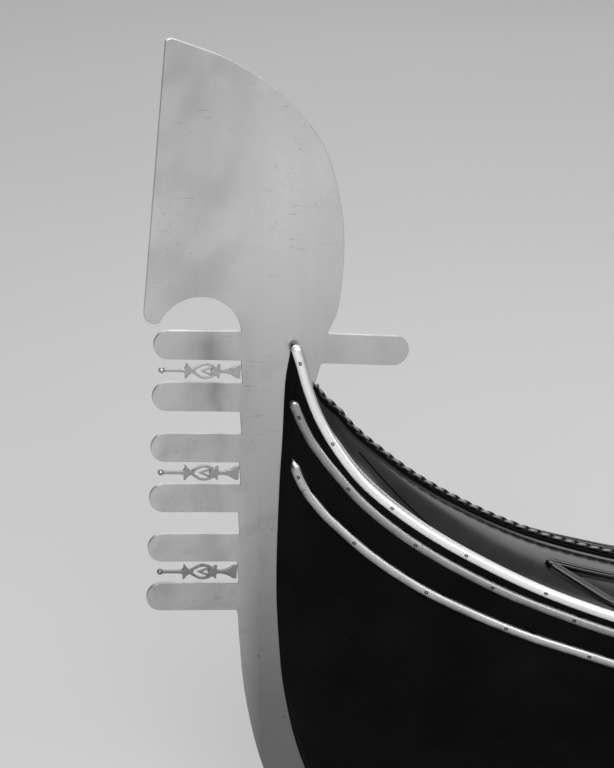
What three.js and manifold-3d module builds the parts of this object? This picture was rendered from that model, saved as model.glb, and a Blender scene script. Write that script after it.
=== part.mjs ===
// A gondola, full size, in millimetres: +X forward, +Y port, +Z up.
// The origin lies at the waterline, amidships, on the straight line from stem to stern.
import * as THREE from 'three';
import { mergeVertices } from 'three/addons/utils/BufferGeometryUtils.js';
import Module from 'manifold-3d';

const wasm = await Module();
wasm.setup();

// Driving sizes of the hull.
const STEM_X = 5180;
const STEM_HEAD = 1210;
const STERN_X = -5290;
const STERN_HEAD = 1250;
const POST_HALF = 14;
const HALF_BEAM = 710;
const HALF_BOTTOM = 470;
const LEAN_TO_PORT = 120;
const BILGE_ROUND = 24;
const BOARD = 20;
const STRAKE = 10;
const DECK = 12;
const GAP = 0.3;
const POST_DEPTH = 60;
const HEAD_DEPTH = 12;
const LENGTH = STEM_X - STERN_X;

// Where the decks and the cockpit fittings stand along the boat.
const FOREDECK_END = 2750;
const AFTERDECK_END = -2500;

const group = new THREE.Group();

const finish = {
  iron: { color: 0xa9a9a7, roughness: 0.38, metalness: 1 },
  castIron: { color: 0x6f6c68, roughness: 0.45, metalness: 1 },
  bright: { color: 0xd9d9d6, roughness: 0.25, metalness: 1 },
  brass: { color: 0xc9a24a, roughness: 0.25, metalness: 1 },
  blackPaint: { color: 0x0b0b0c, roughness: 0.16, metalness: 0 },
  walnut: { color: 0x5a3a22, roughness: 0.45, metalness: 0 },
  floor: { color: 0x2b2a28, roughness: 0.6, metalness: 0 },
  leather: { color: 0x141414, roughness: 0.4, metalness: 0 },
  cloth: { color: 0xd8d4cc, roughness: 0.9, metalness: 0 },
};

// Adds one named solid to the boat.
function piece(name, geometry, look) {
  const mesh = new THREE.Mesh(geometry, new THREE.MeshStandardMaterial(finish[look]));
  mesh.name = name;
  group.add(mesh);
  return mesh;
}

// A smooth curve through rows of [position, value], positions rising: cubic, with no overshoot.
function through(rows) {
  const slope = [];
  for (let i = 0; i + 1 < rows.length; i++) {
    slope.push((rows[i + 1][1] - rows[i][1]) / (rows[i + 1][0] - rows[i][0]));
  }
  const tangent = rows.map((row, i) => {
    if (i === 0) return slope[0];
    if (i === rows.length - 1) return slope[i - 1];
    const before = slope[i - 1];
    const after = slope[i];
    return before * after <= 0 ? 0 : (2 * before * after) / (before + after);
  });
  return (at) => {
    let i = 0;
    while (i < rows.length - 2 && at > rows[i + 1][0]) i++;
    const width = rows[i + 1][0] - rows[i][0];
    const s = THREE.MathUtils.clamp((at - rows[i][0]) / width, 0, 1);
    const rise = rows[i + 1][1] - rows[i][1];
    const bend = (tangent[i] * width - rise) * (1 - s) - (tangent[i + 1] * width - rise) * s;
    return rows[i][1] + rise * s + s * (1 - s) * bend;
  };
}

// The faces that close a ring: across it in its flattest view, or, where the second half of the
// ring runs back beside the first, as a strip between the two.
function capFaces(ring, strip) {
  const count = ring.length;
  if (strip) {
    return evenly(0, count / 2 - 2, count / 2 - 2).flatMap((j) => [
      [j, j + 1, count - 2 - j], [j, count - 2 - j, count - 1 - j],
    ]);
  }
  const normal = new THREE.Vector3();
  ring.forEach((p, i) => {
    normal.add(new THREE.Vector3().crossVectors(p, ring[(i + 1) % count]));
  });
  const size = [Math.abs(normal.x), Math.abs(normal.y), Math.abs(normal.z)];
  const drop = size.indexOf(Math.max(...size));
  const flat = ring.map((p) => {
    const rest = p.toArray().filter((value, k) => k !== drop);
    return new THREE.Vector2(rest[0], rest[1]);
  });
  return THREE.ShapeUtils.triangulateShape(flat, []);
}

// The closed solid swept through equal rings of points, with both end rings capped.
function loft(rings, strip = false) {
  const count = rings[0].length;
  const index = [];
  for (let i = 0; i + 1 < rings.length; i++) {
    for (let j = 0; j < count; j++) {
      const a = i * count + j;
      const b = i * count + ((j + 1) % count);
      index.push(a, b, b + count, a, b + count, a + count);
    }
  }
  const cap = (ring, base, forward) => {
    const faces = capFaces(ring, strip);
    const follows = faces.some((f) => f.some((v, k) => f[(k + 1) % 3] === (v + 1) % count));
    for (const [p, q, r] of faces) {
      if (follows === forward) index.push(base + p, base + q, base + r);
      else index.push(base + r, base + q, base + p);
    }
  };
  cap(rings[0], 0, false);
  cap(rings[rings.length - 1], (rings.length - 1) * count, true);
  const points = rings.flat();
  let volume = 0;
  for (let i = 0; i < index.length; i += 3) {
    const [p, q, r] = [points[index[i]], points[index[i + 1]], points[index[i + 2]]];
    volume += p.dot(new THREE.Vector3().crossVectors(q, r));
  }
  for (let i = 0; volume < 0 && i < index.length; i += 3) {
    [index[i], index[i + 2]] = [index[i + 2], index[i]];
  }
  const geometry = new THREE.BufferGeometry();
  const positions = points.flatMap((p) => p.toArray());
  geometry.setAttribute('position', new THREE.Float32BufferAttribute(positions, 3));
  geometry.setIndex(index);
  return geometry;
}

// A flat outline in the boat's side view, given as a THREE.Shape, made a plate about y = middle.
function sidePlate(shape, thickness, middle = 0, segments = 10) {
  const geometry = new THREE.ExtrudeGeometry(shape, {
    depth: thickness,
    bevelEnabled: false,
    curveSegments: segments,
  });
  geometry.translate(0, 0, -thickness / 2);
  geometry.rotateX(Math.PI / 2);
  geometry.translate(0, middle, 0);
  return geometry;
}

function box(x1, x2, y1, y2, z1, z2) {
  const geometry = new THREE.BoxGeometry(x2 - x1, y2 - y1, z2 - z1);
  geometry.translate((x1 + x2) / 2, (y1 + y2) / 2, (z1 + z2) / 2);
  return geometry;
}

function solid(geometry) {
  const bare = geometry.clone();
  bare.deleteAttribute('normal');
  bare.deleteAttribute('uv');
  const merged = mergeVertices(bare, 1e-3);
  return new wasm.Manifold(new wasm.Mesh({
    numProp: 3,
    vertProperties: new Float32Array(merged.attributes.position.array),
    triVerts: new Uint32Array(merged.index.array),
  }));
}

function surface(manifold) {
  const mesh = manifold.getMesh();
  const geometry = new THREE.BufferGeometry();
  geometry.setAttribute('position', new THREE.BufferAttribute(mesh.vertProperties, 3));
  geometry.setIndex(new THREE.BufferAttribute(mesh.triVerts, 1));
  return geometry;
}

function join(...geometries) {
  return surface(geometries.map(solid).reduce((sum, next) => sum.add(next)));
}

function cut(geometry, ...tools) {
  return surface(tools.map(solid).reduce((rest, tool) => rest.subtract(tool), solid(geometry)));
}

// Front line of the stem: height above the foot's level, forward of the stem head.
const stemForward = through([
  // height, forward
  [5, -640], [50, -430], [110, -260], [190, -140], [290, -62], [383, -18], [492, 10],
  [592, 24], [746, 31], [936, 25], [1029, 19], [1127, 14], [1210, 2],
]);

// Aft line of the stern post: height, aft of the stern head.
const sternAft = through([
  [60, -1150], [120, -880], [220, -600], [360, -370], [560, -180], [800, -60], [1050, -5], [1250, 0],
]);

const STEM_FOOT = 5;
const STERN_FOOT = 60;

// The rim's height: distance aft of the stem head, height below it. The stern has its own rise.
const rimFromBow = through([
  [0, 8], [11, -29], [22, -74], [42, -131], [78, -197], [118, -250], [199, -320], [289, -378],
  [427, -448], [548, -494], [800, -570], [1200, -655], [1800, -735], [2600, -785], [3600, -810],
  [5200, -818],
]);
const rimFromStern = through([
  [0, 0], [60, -120], [150, -220], [350, -350], [700, -500], [1200, -635], [1900, -750],
  [2900, -825], [4000, -852], [5200, -858],
]);
// The bottom's height: distance aft of the stem's foot, and forward of the stern's foot.
const bottomFromBow = through([
  [0, STEM_FOOT], [250, -35], [700, -82], [1500, -122], [2700, -148], [3800, -156], [4500, -156],
]);
const bottomFromStern = through([
  [0, STERN_FOOT], [300, 10], [800, -50], [1700, -110], [2800, -146], [3400, -156], [4500, -156],
]);

function level(v) {
  const bow = STEM_X + stemForward(STEM_FOOT + v * (STEM_HEAD - STEM_FOOT));
  const stern = STERN_X - sternAft(STERN_FOOT + v * (STERN_HEAD - STERN_FOOT));
  return { bow, stern };
}

// Fullness along the boat, from 0 at either post to 1 amidships.
const fullness = (t) => Math.max(0, 4 * t * (1 - t));

function rimHeight(x) {
  const fromBow = STEM_HEAD + rimFromBow(STEM_X - x);
  const fromStern = STERN_HEAD + rimFromStern(x - STERN_X);
  return x > 0 ? fromBow : fromStern;
}

function bottomHeight(t) {
  const { bow, stern } = level(0);
  const x = bow + (stern - bow) * t;
  return x > 0 ? bottomFromBow(bow - x) : bottomFromStern(x - stern);
}

// Near the posts the lower rows rise a little, which keeps the posts thick where they turn under.
const TOE_LIFT = 16;
const TOE_LENGTH = 900;
const TOE_ROWS = { full: 0.04, fade: 0.15, end: 0.6 };
function toeLift(t, v) {
  const { smoothstep } = THREE.MathUtils;
  const along = LENGTH * Math.min(t, 1 - t);
  const near = Math.min(1, along / POST_DEPTH) * (1 - smoothstep(along, POST_DEPTH, TOE_LENGTH));
  const rows = smoothstep(v, 0, TOE_ROWS.full) * (1 - smoothstep(v, TOE_ROWS.fade, TOE_ROWS.end));
  return TOE_LIFT * near * rows;
}

// A point of the hull's outer face: t runs from stem to stern, v from the bottom's edge to the rim.
function hullPoint(side, t, v, inward = 0) {
  const { bow, stern } = level(v);
  const x = bow + (stern - bow) * t;
  const top = level(1);
  const rim = rimHeight(top.bow + (top.stern - top.bow) * t);
  const low = bottomHeight(t);
  const full = fullness(t);
  const wide = POST_HALF + (HALF_BEAM - POST_HALF) * full;
  const narrow = POST_HALF + (HALF_BOTTOM - POST_HALF) * full ** 1.1;
  const half = narrow + (wide - narrow) * v + BILGE_ROUND * 4 * v * (1 - v) * full;
  const y = side * (half - inward) + LEAN_TO_PORT * full;
  return new THREE.Vector3(x, y, low + (rim - low) * v + toeLift(t, v));
}

const SIDES = [['port', 1], ['starboard', -1]];
const POST_T = POST_DEPTH / LENGTH;
const HEAD_T = HEAD_DEPTH / LENGTH;

// One list of stations serves every long piece, so that neighbours bend at the same places.
const STATIONS = [HEAD_T, (HEAD_T + POST_T) / 2];
const STATION_COUNT = 34;
for (let i = 0; i <= STATION_COUNT; i++) {
  const along = (1 - Math.cos((Math.PI * i) / STATION_COUNT)) / 2;
  STATIONS.push(POST_T + (1 - 2 * POST_T) * along);
}
STATIONS.push(1 - (HEAD_T + POST_T) / 2, 1 - HEAD_T);
const FIRST_BOARD = 2;
const LAST_BOARD = STATIONS.length - 3;

// The station nearest to an x measured at the rim.
function stationAt(x) {
  const gaps = STATIONS.map((t) => Math.abs(STEM_X - LENGTH * t - x));
  return gaps.indexOf(Math.min(...gaps));
}

function evenly(a, b, count) {
  const list = [];
  for (let i = 0; i <= count; i++) list.push(a + ((b - a) * i) / count);
  return list;
}

// The middle and lower mouldings' drops below the rim: distance from the post's head, drop.
const middleDrop = through([
  [0, 95], [4, 92], [12, 86], [24, 72], [57, 48], [98, 37], [135, 35], [213, 34.5], [347, 33],
  [491, 29], [5000, 27],
]);
const lowerDrop = through([
  [0, 190], [9, 178], [17, 170], [24, 165], [57, 140], [118, 115], [244, 105.5], [385, 95],
  [532, 86.5], [5000, 84],
]);
const STRAKE_BELOW_MOULDING = 15;
const DECK_RISE = 4;
const BOARD_DROP = DECK - DECK_RISE + 2 * GAP;

const fromPost = (t) => LENGTH * Math.min(t, 1 - t);
const strakeDrop = (t) => lowerDrop(fromPost(t)) + STRAKE_BELOW_MOULDING;
const strakeThickness = (t) => STRAKE * Math.min(1, 0.3 + fromPost(t) / 200);

// The share of the side's height at which a drop below the rim lies.
function levelBelowRim(t, drop) {
  return 1 - drop / (rimHeight(STEM_X - LENGTH * t) - bottomHeight(t));
}

// Rows up the boards: shares of the height from the bottom's edge to the strake, close together
// where the end posts turn under the boat.
const END_GAP = 0.9;
const BOARD_SHARES = [0, 0.03, 0.07, 0.12, 0.2, 0.32, 0.5, 0.72, 1];
function boardLevels(t) {
  const low = levelBelowRim(t, strakeDrop(t));
  return [...BOARD_SHARES.map((share) => share * low), levelBelowRim(t, BOARD_DROP)];
}

for (const [name, side] of SIDES) {
  const rings = STATIONS.slice(FIRST_BOARD, LAST_BOARD + 1).map((t, i, all) => {
    const levels = boardLevels(t);
    const end = i === 0 ? 1 : i === all.length - 1 ? -1 : 0;
    const clear = new THREE.Vector3(-end * END_GAP, 0, 0);
    const outer = levels.map((v) => hullPoint(side, t, v).add(clear));
    const inner = levels.map((v) => hullPoint(side, t, v, BOARD).add(clear));
    return [...outer, ...inner.reverse()];
  });
  piece(`side_planking_${name}`, loft(rings, true), 'blackPaint');
}

const BOTTOM = 20;
const bottomRings = STATIONS.map((t) => {
  const port = hullPoint(1, t, 0);
  const starboard = hullPoint(-1, t, 0);
  const lift = new THREE.Vector3(0, 0, GAP);
  const under = new THREE.Vector3(0, 0, GAP + BOTTOM);
  return [
    port.clone().sub(lift), port.clone().sub(under),
    starboard.clone().sub(under), starboard.clone().sub(lift),
  ];
});
piece('bottom_planking', loft(bottomRings), 'blackPaint');

// The raised strake outside the boards. Its outer face carries the mouldings.
function strakeFace(side, t, drop, outward = 0) {
  const lowDrop = strakeDrop(t);
  const out = GAP + strakeThickness(t) + outward;
  const top = hullPoint(side, t, levelBelowRim(t, BOARD_DROP), -out);
  const low = hullPoint(side, t, levelBelowRim(t, lowDrop), -out);
  return top.clone().lerp(low, (drop - BOARD_DROP) / (lowDrop - BOARD_DROP));
}

for (const [name, side] of SIDES) {
  const rings = STATIONS.map((t) => {
    const inner = evenly(BOARD_DROP, strakeDrop(t), 4).map((drop) => {
      return hullPoint(side, t, levelBelowRim(t, drop), -GAP);
    });
    const along = fromPost(t);
    const drops = [BOARD_DROP, middleDrop(along), lowerDrop(along), strakeDrop(t)];
    return [...drops.map((drop) => strakeFace(side, t, drop)), ...inner.reverse()];
  });
  piece(`top_strake_${name}`, loft(rings), 'blackPaint');
}

// Half-round metal mouldings, screwed to the strake and the deck's edge.
const MOULDING_WIDTH = 18;
const MOULDING_HEIGHT = 8;
const MOULDING_GAP = 0.6;
const MOULDINGS = [
  // name, drop below the rim at a distance from the post, look
  ['upper', () => 0, 'bright'],
  ['middle', middleDrop, 'iron'],
  ['lower', lowerDrop, 'iron'],
];
for (const [name, drop, look] of MOULDINGS) {
  for (const [sideName, side] of SIDES) {
    const path = STATIONS.map((t) => strakeFace(side, t, drop(fromPost(t))));
    const rings = path.map((centre, i) => {
      const t = STATIONS[i];
      const along = path[Math.min(i + 1, path.length - 1)].clone().sub(path[Math.max(i - 1, 0)]);
      const up = strakeFace(side, t, 0).sub(strakeFace(side, t, 60));
      const outward = along.clone().cross(up).normalize();
      if (outward.y * side < 0) outward.negate();
      const across = outward.clone().cross(along).normalize();
      return evenly(0, Math.PI, 5).map((angle) => centre.clone()
        .addScaledVector(across, (Math.cos(angle) * MOULDING_WIDTH) / 2)
        .addScaledVector(outward, MOULDING_GAP + Math.sin(angle) * MOULDING_HEIGHT));
    });
    piece(`moulding_${name}_${sideName}`, loft(rings), look);
  }
}

// The crowned decks. Crown of the deck's middle above the rim: distance from the post's head, rise.
const crown = through([
  [50, 33], [90, 57], [150, 59.5], [208, 55.5], [290, 50], [371, 46], [460, 43.5], [600, 43],
  [2430, 55],
]);
const RIDGE_HALF = 10;
const RIDGE_HEIGHT = 20;

const POST_CLEARANCE = 1;

// At the two posts the decks stop just short of the post's inner face.
function clearOfPost(t) {
  if (fromPost(t) > POST_DEPTH + 1) return 0;
  return t < 0.5 ? -POST_CLEARANCE : POST_CLEARANCE;
}

function deckTop(side, t, share) {
  const edge = strakeFace(side, t, -DECK_RISE);
  const rise = crown(fromPost(t)) * (1 - share * share);
  const y = THREE.MathUtils.lerp(side * GAP, edge.y, share);
  return new THREE.Vector3(edge.x + clearOfPost(t), y, edge.z + rise);
}

function deckHalf(side, first, last) {
  const shares = evenly(0, 1, 6);
  const rings = STATIONS.slice(first, last + 1).map((t) => {
    const top = shares.map((share) => deckTop(side, t, share));
    const under = top.slice(0, -1).map((p) => p.clone().setZ(p.z - DECK));
    const corner = strakeFace(side, t, DECK - DECK_RISE);
    under.push(corner.setX(corner.x + clearOfPost(t)));
    return [...top, ...under.reverse()];
  });
  return loft(rings);
}

function deckRidge(first, last) {
  const rings = STATIONS.slice(first, last + 1).map((t) => {
    const base = deckTop(1, t, 0);
    const at = (y, up) => new THREE.Vector3(base.x, y, base.z + GAP + up);
    return [
      at(-RIDGE_HALF, 0), at(-RIDGE_HALF, RIDGE_HEIGHT * 0.6), at(-RIDGE_HALF / 2, RIDGE_HEIGHT),
      at(RIDGE_HALF / 2, RIDGE_HEIGHT), at(RIDGE_HALF, RIDGE_HEIGHT * 0.6), at(RIDGE_HALF, 0),
    ];
  });
  return loft(rings);
}

const FORE = stationAt(FOREDECK_END);
const AFT = stationAt(AFTERDECK_END);
for (const [name, side] of SIDES) {
  piece(`foredeck_${name}`, deckHalf(side, FIRST_BOARD, FORE), 'blackPaint');
  piece(`afterdeck_${name}`, deckHalf(side, AFT, LAST_BOARD), 'blackPaint');
}
piece('foredeck_ridge', deckRidge(FIRST_BOARD, FORE), 'blackPaint');
piece('afterdeck_ridge', deckRidge(AFT, LAST_BOARD), 'blackPaint');

// The bow iron: one plate, its outline in the side view measured from the stem's head.
const IRON = 9;
const TOOTH_HEIGHT = 53;
const TOOTH_PITCH = 95;
const TOOTH_LEAN = 0.09;
const FIRST_TOOTH = { x: 88, z: 1, length: 156 };
const TOOTH_STEP = { x: 2.6, length: 1.9 };
const STRIP = 70;
const LET_IN = 30;
const IRON_FOOT = 110;
const STRIP_FOOT = 24;
const STRIP_TOP = 700;
const HIDDEN_TOP = 1080;
const ARCH = { x: 164.5, z: 20, radius: 75.5 };
const BLADE_TOP = [213, 540];
const BLADE_FRONT = [259, 74];
const BEAK = [[259, 56], [245, 52], [233, 53]];
const BACK_EDGE = [[-82, 60], [-92, 161], [-84, 256], [-53, 356], [15, 442], [102, 505], [194, 545]];
const BACK_TIP = [211, 552];
const AFT_TOOTH = { root: [-62, -14.5], along: [-1, -0.105], length: 148, height: 54 };
const UNDER_AFT_TOOTH = [[-40, -81], [-51, -43]];

// The plate's aft edge, hidden in the stem's slot, then the strip's front edge, from a height down.
function stemOffset(height, forward) {
  const e = 4;
  const here = new THREE.Vector2(stemForward(height), height);
  const above = new THREE.Vector2(stemForward(height + e), height + e);
  const along = above.sub(here).normalize();
  return new THREE.Vector2(here.x + along.y * forward, here.y - along.x * forward - STEM_HEAD);
}

function tooth(i) {
  const root = new THREE.Vector2(FIRST_TOOTH.x + TOOTH_STEP.x * i, FIRST_TOOTH.z - TOOTH_PITCH * i);
  const length = FIRST_TOOTH.length + TOOTH_STEP.length * i;
  const along = new THREE.Vector2(1, TOOTH_LEAN).normalize();
  return { root, along, length };
}

// Draws a tooth's outline from its root's upper corner round its end and back to its lower corner.
function drawTooth(shape, root, along, length, height) {
  const across = new THREE.Vector2(-along.y, along.x).multiplyScalar(height / 2);
  const end = root.clone().addScaledVector(along, length - height / 2);
  shape.lineTo(root.x + across.x, root.y + across.y);
  shape.lineTo(end.x + across.x, end.y + across.y);
  const steps = 8;
  const tilt = Math.atan2(along.y, along.x);
  for (let k = 1; k < steps; k++) {
    const angle = tilt + Math.PI / 2 - (Math.PI * k) / steps;
    shape.lineTo(end.x + (Math.cos(angle) * height) / 2, end.y + (Math.sin(angle) * height) / 2);
  }
  shape.lineTo(end.x - across.x, end.y - across.y);
  shape.lineTo(root.x - across.x, root.y - across.y);
}

function ironShape(margin) {
  const shape = new THREE.Shape();
  shape.moveTo(...BLADE_TOP);
  shape.lineTo(...BLADE_FRONT);
  shape.quadraticCurveTo(...BEAK[0], ...BEAK[1]);
  shape.lineTo(...BEAK[2]);
  const start = Math.atan2(BEAK[2][1] - ARCH.z, BEAK[2][0] - ARCH.x);
  shape.absarc(ARCH.x, ARCH.z, ARCH.radius, start, Math.PI - 0.1, false);
  for (let i = 0; i < 6; i++) {
    const { root, along, length } = tooth(i);
    drawTooth(shape, root, along, length, TOOTH_HEIGHT);
  }
  // Rows down the strip's front edge, then up its hidden edge, closer together at the foot.
  for (const s of evenly(1, 0, 10)) {
    const h = IRON_FOOT + (STRIP_TOP - IRON_FOOT) * s ** 1.5;
    const wide = STRIP_FOOT + (STRIP - STRIP_FOOT) * THREE.MathUtils.smoothstep(h, IRON_FOOT, 330);
    const p = stemOffset(h, wide);
    shape.lineTo(p.x, p.y);
  }
  for (const s of evenly(0, 1, 14)) {
    const h = IRON_FOOT + (HIDDEN_TOP - IRON_FOOT) * s ** 1.7;
    const depth = LET_IN * (0.2 + 0.8 * THREE.MathUtils.smoothstep(h, IRON_FOOT, 420));
    const p = stemOffset(h, -depth - margin);
    shape.lineTo(p.x, p.y);
  }
  UNDER_AFT_TOOTH.forEach(([x, z]) => shape.lineTo(x, z));
  const back = new THREE.Vector2(...AFT_TOOTH.along).normalize();
  drawTooth(shape, new THREE.Vector2(...AFT_TOOTH.root), back, AFT_TOOTH.length, AFT_TOOTH.height);
  shape.splineThru(BACK_EDGE.map(([x, z]) => new THREE.Vector2(x, z)));
  shape.quadraticCurveTo(...BACK_TIP, ...BLADE_TOP);
  return shape;
}

function atStem(geometry) {
  geometry.translate(STEM_X, 0, STEM_HEAD);
  return geometry;
}

piece('bow_iron', atStem(sidePlate(ironShape(0), IRON)), 'iron');

// The three cast flowers: half height along the length, from the strip out to the ball.
const FLOWER_PROFILE = [
  // distance from the strip, half height
  [0, 12.5], [7, 12], [13, 5], [19, 4], [25, 12], [32, 10], [37, 6], [46, 13], [54, 14.5],
  [64, 13], [74, 7], [82, 3.2], [88, 3.2], [94, 12], [100, 3.2], [130, 2.6], [134, 5], [138, 6.2],
  [142, 5], [145, 1.5],
];
const FLOWER_EYE = [[46, 1], [52, 7.5], [60, 7.5], [70, 1]];
const FLOWER = 7;

// The closed outline of rows [distance, half height], above and below its axis.
function mirrored(rows) {
  const above = rows.map(([along, half]) => new THREE.Vector2(along, half));
  const below = rows.map(([along, half]) => new THREE.Vector2(along, -half)).reverse();
  return [...above, ...below];
}

const FLOWER_TEETH = [0, 2, 4];
FLOWER_TEETH.forEach((i, number) => {
  const above = tooth(i);
  const below = tooth(i + 1);
  const shape = new THREE.Shape(mirrored(FLOWER_PROFILE));
  shape.holes.push(new THREE.Path(mirrored(FLOWER_EYE).reverse()));
  const geometry = sidePlate(shape, FLOWER);
  geometry.rotateY(-Math.atan(TOOTH_LEAN));
  const root = above.root.clone().add(below.root).multiplyScalar(0.5);
  geometry.translate(root.x + 2 + GAP, 0, root.y);
  piece(`bow_iron_flower_${number + 1}`, atStem(geometry), 'castIron');
});

// The end posts: front edge rounded, cheeks flush with the side boards.
function post(bow) {
  const sign = bow ? 1 : -1;
  const steps = bow ? [STATIONS[1], HEAD_T] : [1 - STATIONS[1], 1 - HEAD_T];
  const inner = bow ? POST_T : 1 - POST_T;
  const levels = [...boardLevels(POST_T), 1];
  const between = levels.slice(1).flatMap((v, i) => [
    levels[i] + (v - levels[i]) / 3, levels[i] + (2 * (v - levels[i])) / 3,
  ]);
  // The inner face keeps to the boards' own rows, so that it lies flat against their ends.
  const rear = (side, v) => {
    const above = Math.max(1, levels.findIndex((row) => row >= v));
    const share = (v - levels[above - 1]) / (levels[above] - levels[above - 1]);
    const low = hullPoint(side, inner, levels[above - 1]);
    return low.lerp(hullPoint(side, inner, levels[above]), share);
  };
  const rings = [...levels, ...between].sort((a, b) => a - b).map((v) => {
    const nose = hullPoint(1, bow ? 0 : 1, v);
    const front = (y, back) => new THREE.Vector3(nose.x - sign * back, y, nose.z);
    const cheek = (side) => [rear(side, v), ...steps.map((t) => hullPoint(side, t, v))];
    return [
      ...cheek(-1), front(-POST_HALF + 3, 2), front(-POST_HALF * 0.5, 0),
      front(POST_HALF * 0.5, 0), front(POST_HALF - 3, 2), ...cheek(1).reverse(),
    ];
  });
  return loft(rings);
}

const slot = atStem(sidePlate(ironShape(GAP), IRON + 2 * GAP));
piece('stem_post', cut(post(true), slot), 'blackPaint');

// The small curled iron, let into the stern post's head.
const STERN_IRON = 6;
const STERN_SOCKET = 90;
const STERN_BLADE_START = [-30, 60];
const STERN_BLADE_CURVES = [
  // bend's x and height, end's x and height
  [-60, 170, -20, 270], [30, 360, 84, 300], [104, 256, 66, 236],
  [36, 236, 44, 270], [20, 262, 16, 190], [12, 120, 34, 40],
];
const STERN_TANG = { front: 34, top: 36, toe: 26, heel: 12 };
function sternIronShape(margin) {
  const shape = new THREE.Shape();
  shape.moveTo(STERN_BLADE_START[0] - margin, STERN_BLADE_START[1]);
  STERN_BLADE_CURVES.forEach((curve) => shape.quadraticCurveTo(...curve));
  shape.lineTo(STERN_TANG.front + margin, STERN_TANG.top);
  shape.lineTo(STERN_TANG.toe + margin, -STERN_SOCKET - margin);
  shape.lineTo(STERN_TANG.heel - margin, -STERN_SOCKET - margin);
  return shape;
}
function sternIron(margin) {
  const plate = sidePlate(sternIronShape(margin), STERN_IRON + 2 * margin, 0, 5);
  plate.translate(STERN_X, 0, STERN_HEAD);
  return plate;
}
piece('stern_post', cut(post(false), sternIron(GAP)), 'blackPaint');
piece('stern_iron', sternIron(0), 'iron');

// Half width of the boat inside its boards, on the boards' own flat faces between stations.
function innerAt(side, t, height) {
  const points = boardLevels(t).map((v) => hullPoint(side, t, v, BOARD));
  let k = 0;
  while (k < points.length - 2 && height > points[k + 1].z) k++;
  const share = (height - points[k].z) / (points[k + 1].z - points[k].z);
  return points[k].clone().lerp(points[k + 1], share);
}

const FIT = 1;
function inside(side, x, height) {
  let k = FIRST_BOARD;
  while (k < LAST_BOARD - 1 && innerAt(side, STATIONS[k + 1], height).x > x) k++;
  const before = innerAt(side, STATIONS[k], height);
  const after = innerAt(side, STATIONS[k + 1], height);
  const share = (before.x - x) / (before.x - after.x);
  return THREE.MathUtils.lerp(before.y, after.y, share) - side * FIT;
}

const stationX = (t) => STEM_X - LENGTH * t;
const middleLine = (x) => LEAN_TO_PORT * fullness((STEM_X - x) / LENGTH);

function bottomAt(x) {
  const { bow, stern } = level(0);
  return bottomHeight((bow - x) / (bow - stern));
}

// A plate across the boat: an outline of [y, z] points, from x1 to x2, with openings cut through.
function crossPlate(outline, x1, x2, openings = []) {
  const shape = new THREE.Shape(outline.map(([y, z]) => new THREE.Vector2(y, z)));
  const geometry = new THREE.ExtrudeGeometry(shape, { depth: x2 - x1, bevelEnabled: false });
  const turn = new THREE.Matrix4().makeBasis(
    new THREE.Vector3(0, 1, 0), new THREE.Vector3(0, 0, 1), new THREE.Vector3(1, 0, 0),
  );
  geometry.applyMatrix4(turn);
  geometry.translate(x1, 0, 0);
  return openings.length ? cut(geometry, ...openings) : geometry;
}

// Side decks beside the cockpit, with the black blocks that carry the finials and the rowlock.
const SIDE_DECK = 150;
const RAIL = 4;
const SUNK = 2;
const DECK_JOINT = 0.9;
const FINIAL_X = 620;
const ROWLOCK_X = -2150;
const BLOCK = { length: 90, width: 60, height: 34 };
const ROWLOCK_BLOCK = { length: 260, width: 80, height: 46 };

function blockOnSideDeck(side, x, size) {
  const y = sideDeckMiddle(side, x);
  const foot = rimHeight(x) + DECK_RISE - SUNK;
  const [long, wide] = [size.length / 2, size.width / 2];
  return box(x - long, x + long, y - wide, y + wide, foot, foot + size.height + SUNK);
}

function sideDeckMiddle(side, x) {
  return inside(side, x, rimHeight(x) - DECK) - side * (SIDE_DECK / 2 - BOARD - RAIL);
}

for (const [name, side] of SIDES) {
  const rings = STATIONS.slice(FORE, AFT + 1).map((t, i, all) => {
    const start = i === 0 ? -DECK_JOINT : i === all.length - 1 ? DECK_JOINT : 0;
    const outer = strakeFace(side, t, -DECK_RISE);
    const corner = strakeFace(side, t, DECK - DECK_RISE);
    const inner = new THREE.Vector3(outer.x, outer.y - side * SIDE_DECK, outer.z);
    const under = inner.clone().setZ(inner.z - DECK);
    return [outer, inner, under, corner].map((p) => p.setX(p.x + start));
  });
  const blocks = [blockOnSideDeck(side, FINIAL_X, BLOCK)];
  if (name === 'starboard') blocks.push(blockOnSideDeck(side, ROWLOCK_X, ROWLOCK_BLOCK));
  piece(`gunwale_${name}`, join(loft(rings), ...blocks), 'blackPaint');
}

// Turned brass finials: half width up the height.
const FINIAL_PROFILE = [
  [0, 0], [20, 0], [20, 8], [12, 14], [9, 30], [17, 44], [20, 58], [14, 72], [8, 82], [15, 92],
  [18, 104], [12, 118], [6, 128], [9, 138], [5, 150], [0, 156],
];
for (const [name, side] of SIDES) {
  const points = FINIAL_PROFILE.map(([radius, up]) => new THREE.Vector2(radius, up));
  const geometry = new THREE.LatheGeometry(points, 14);
  geometry.rotateX(Math.PI / 2);
  const foot = rimHeight(FINIAL_X) + DECK_RISE + BLOCK.height + GAP;
  geometry.translate(FINIAL_X, sideDeckMiddle(side, FINIAL_X), foot);
  piece(`finial_${name}`, surface(solid(geometry)), 'brass');
}

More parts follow.
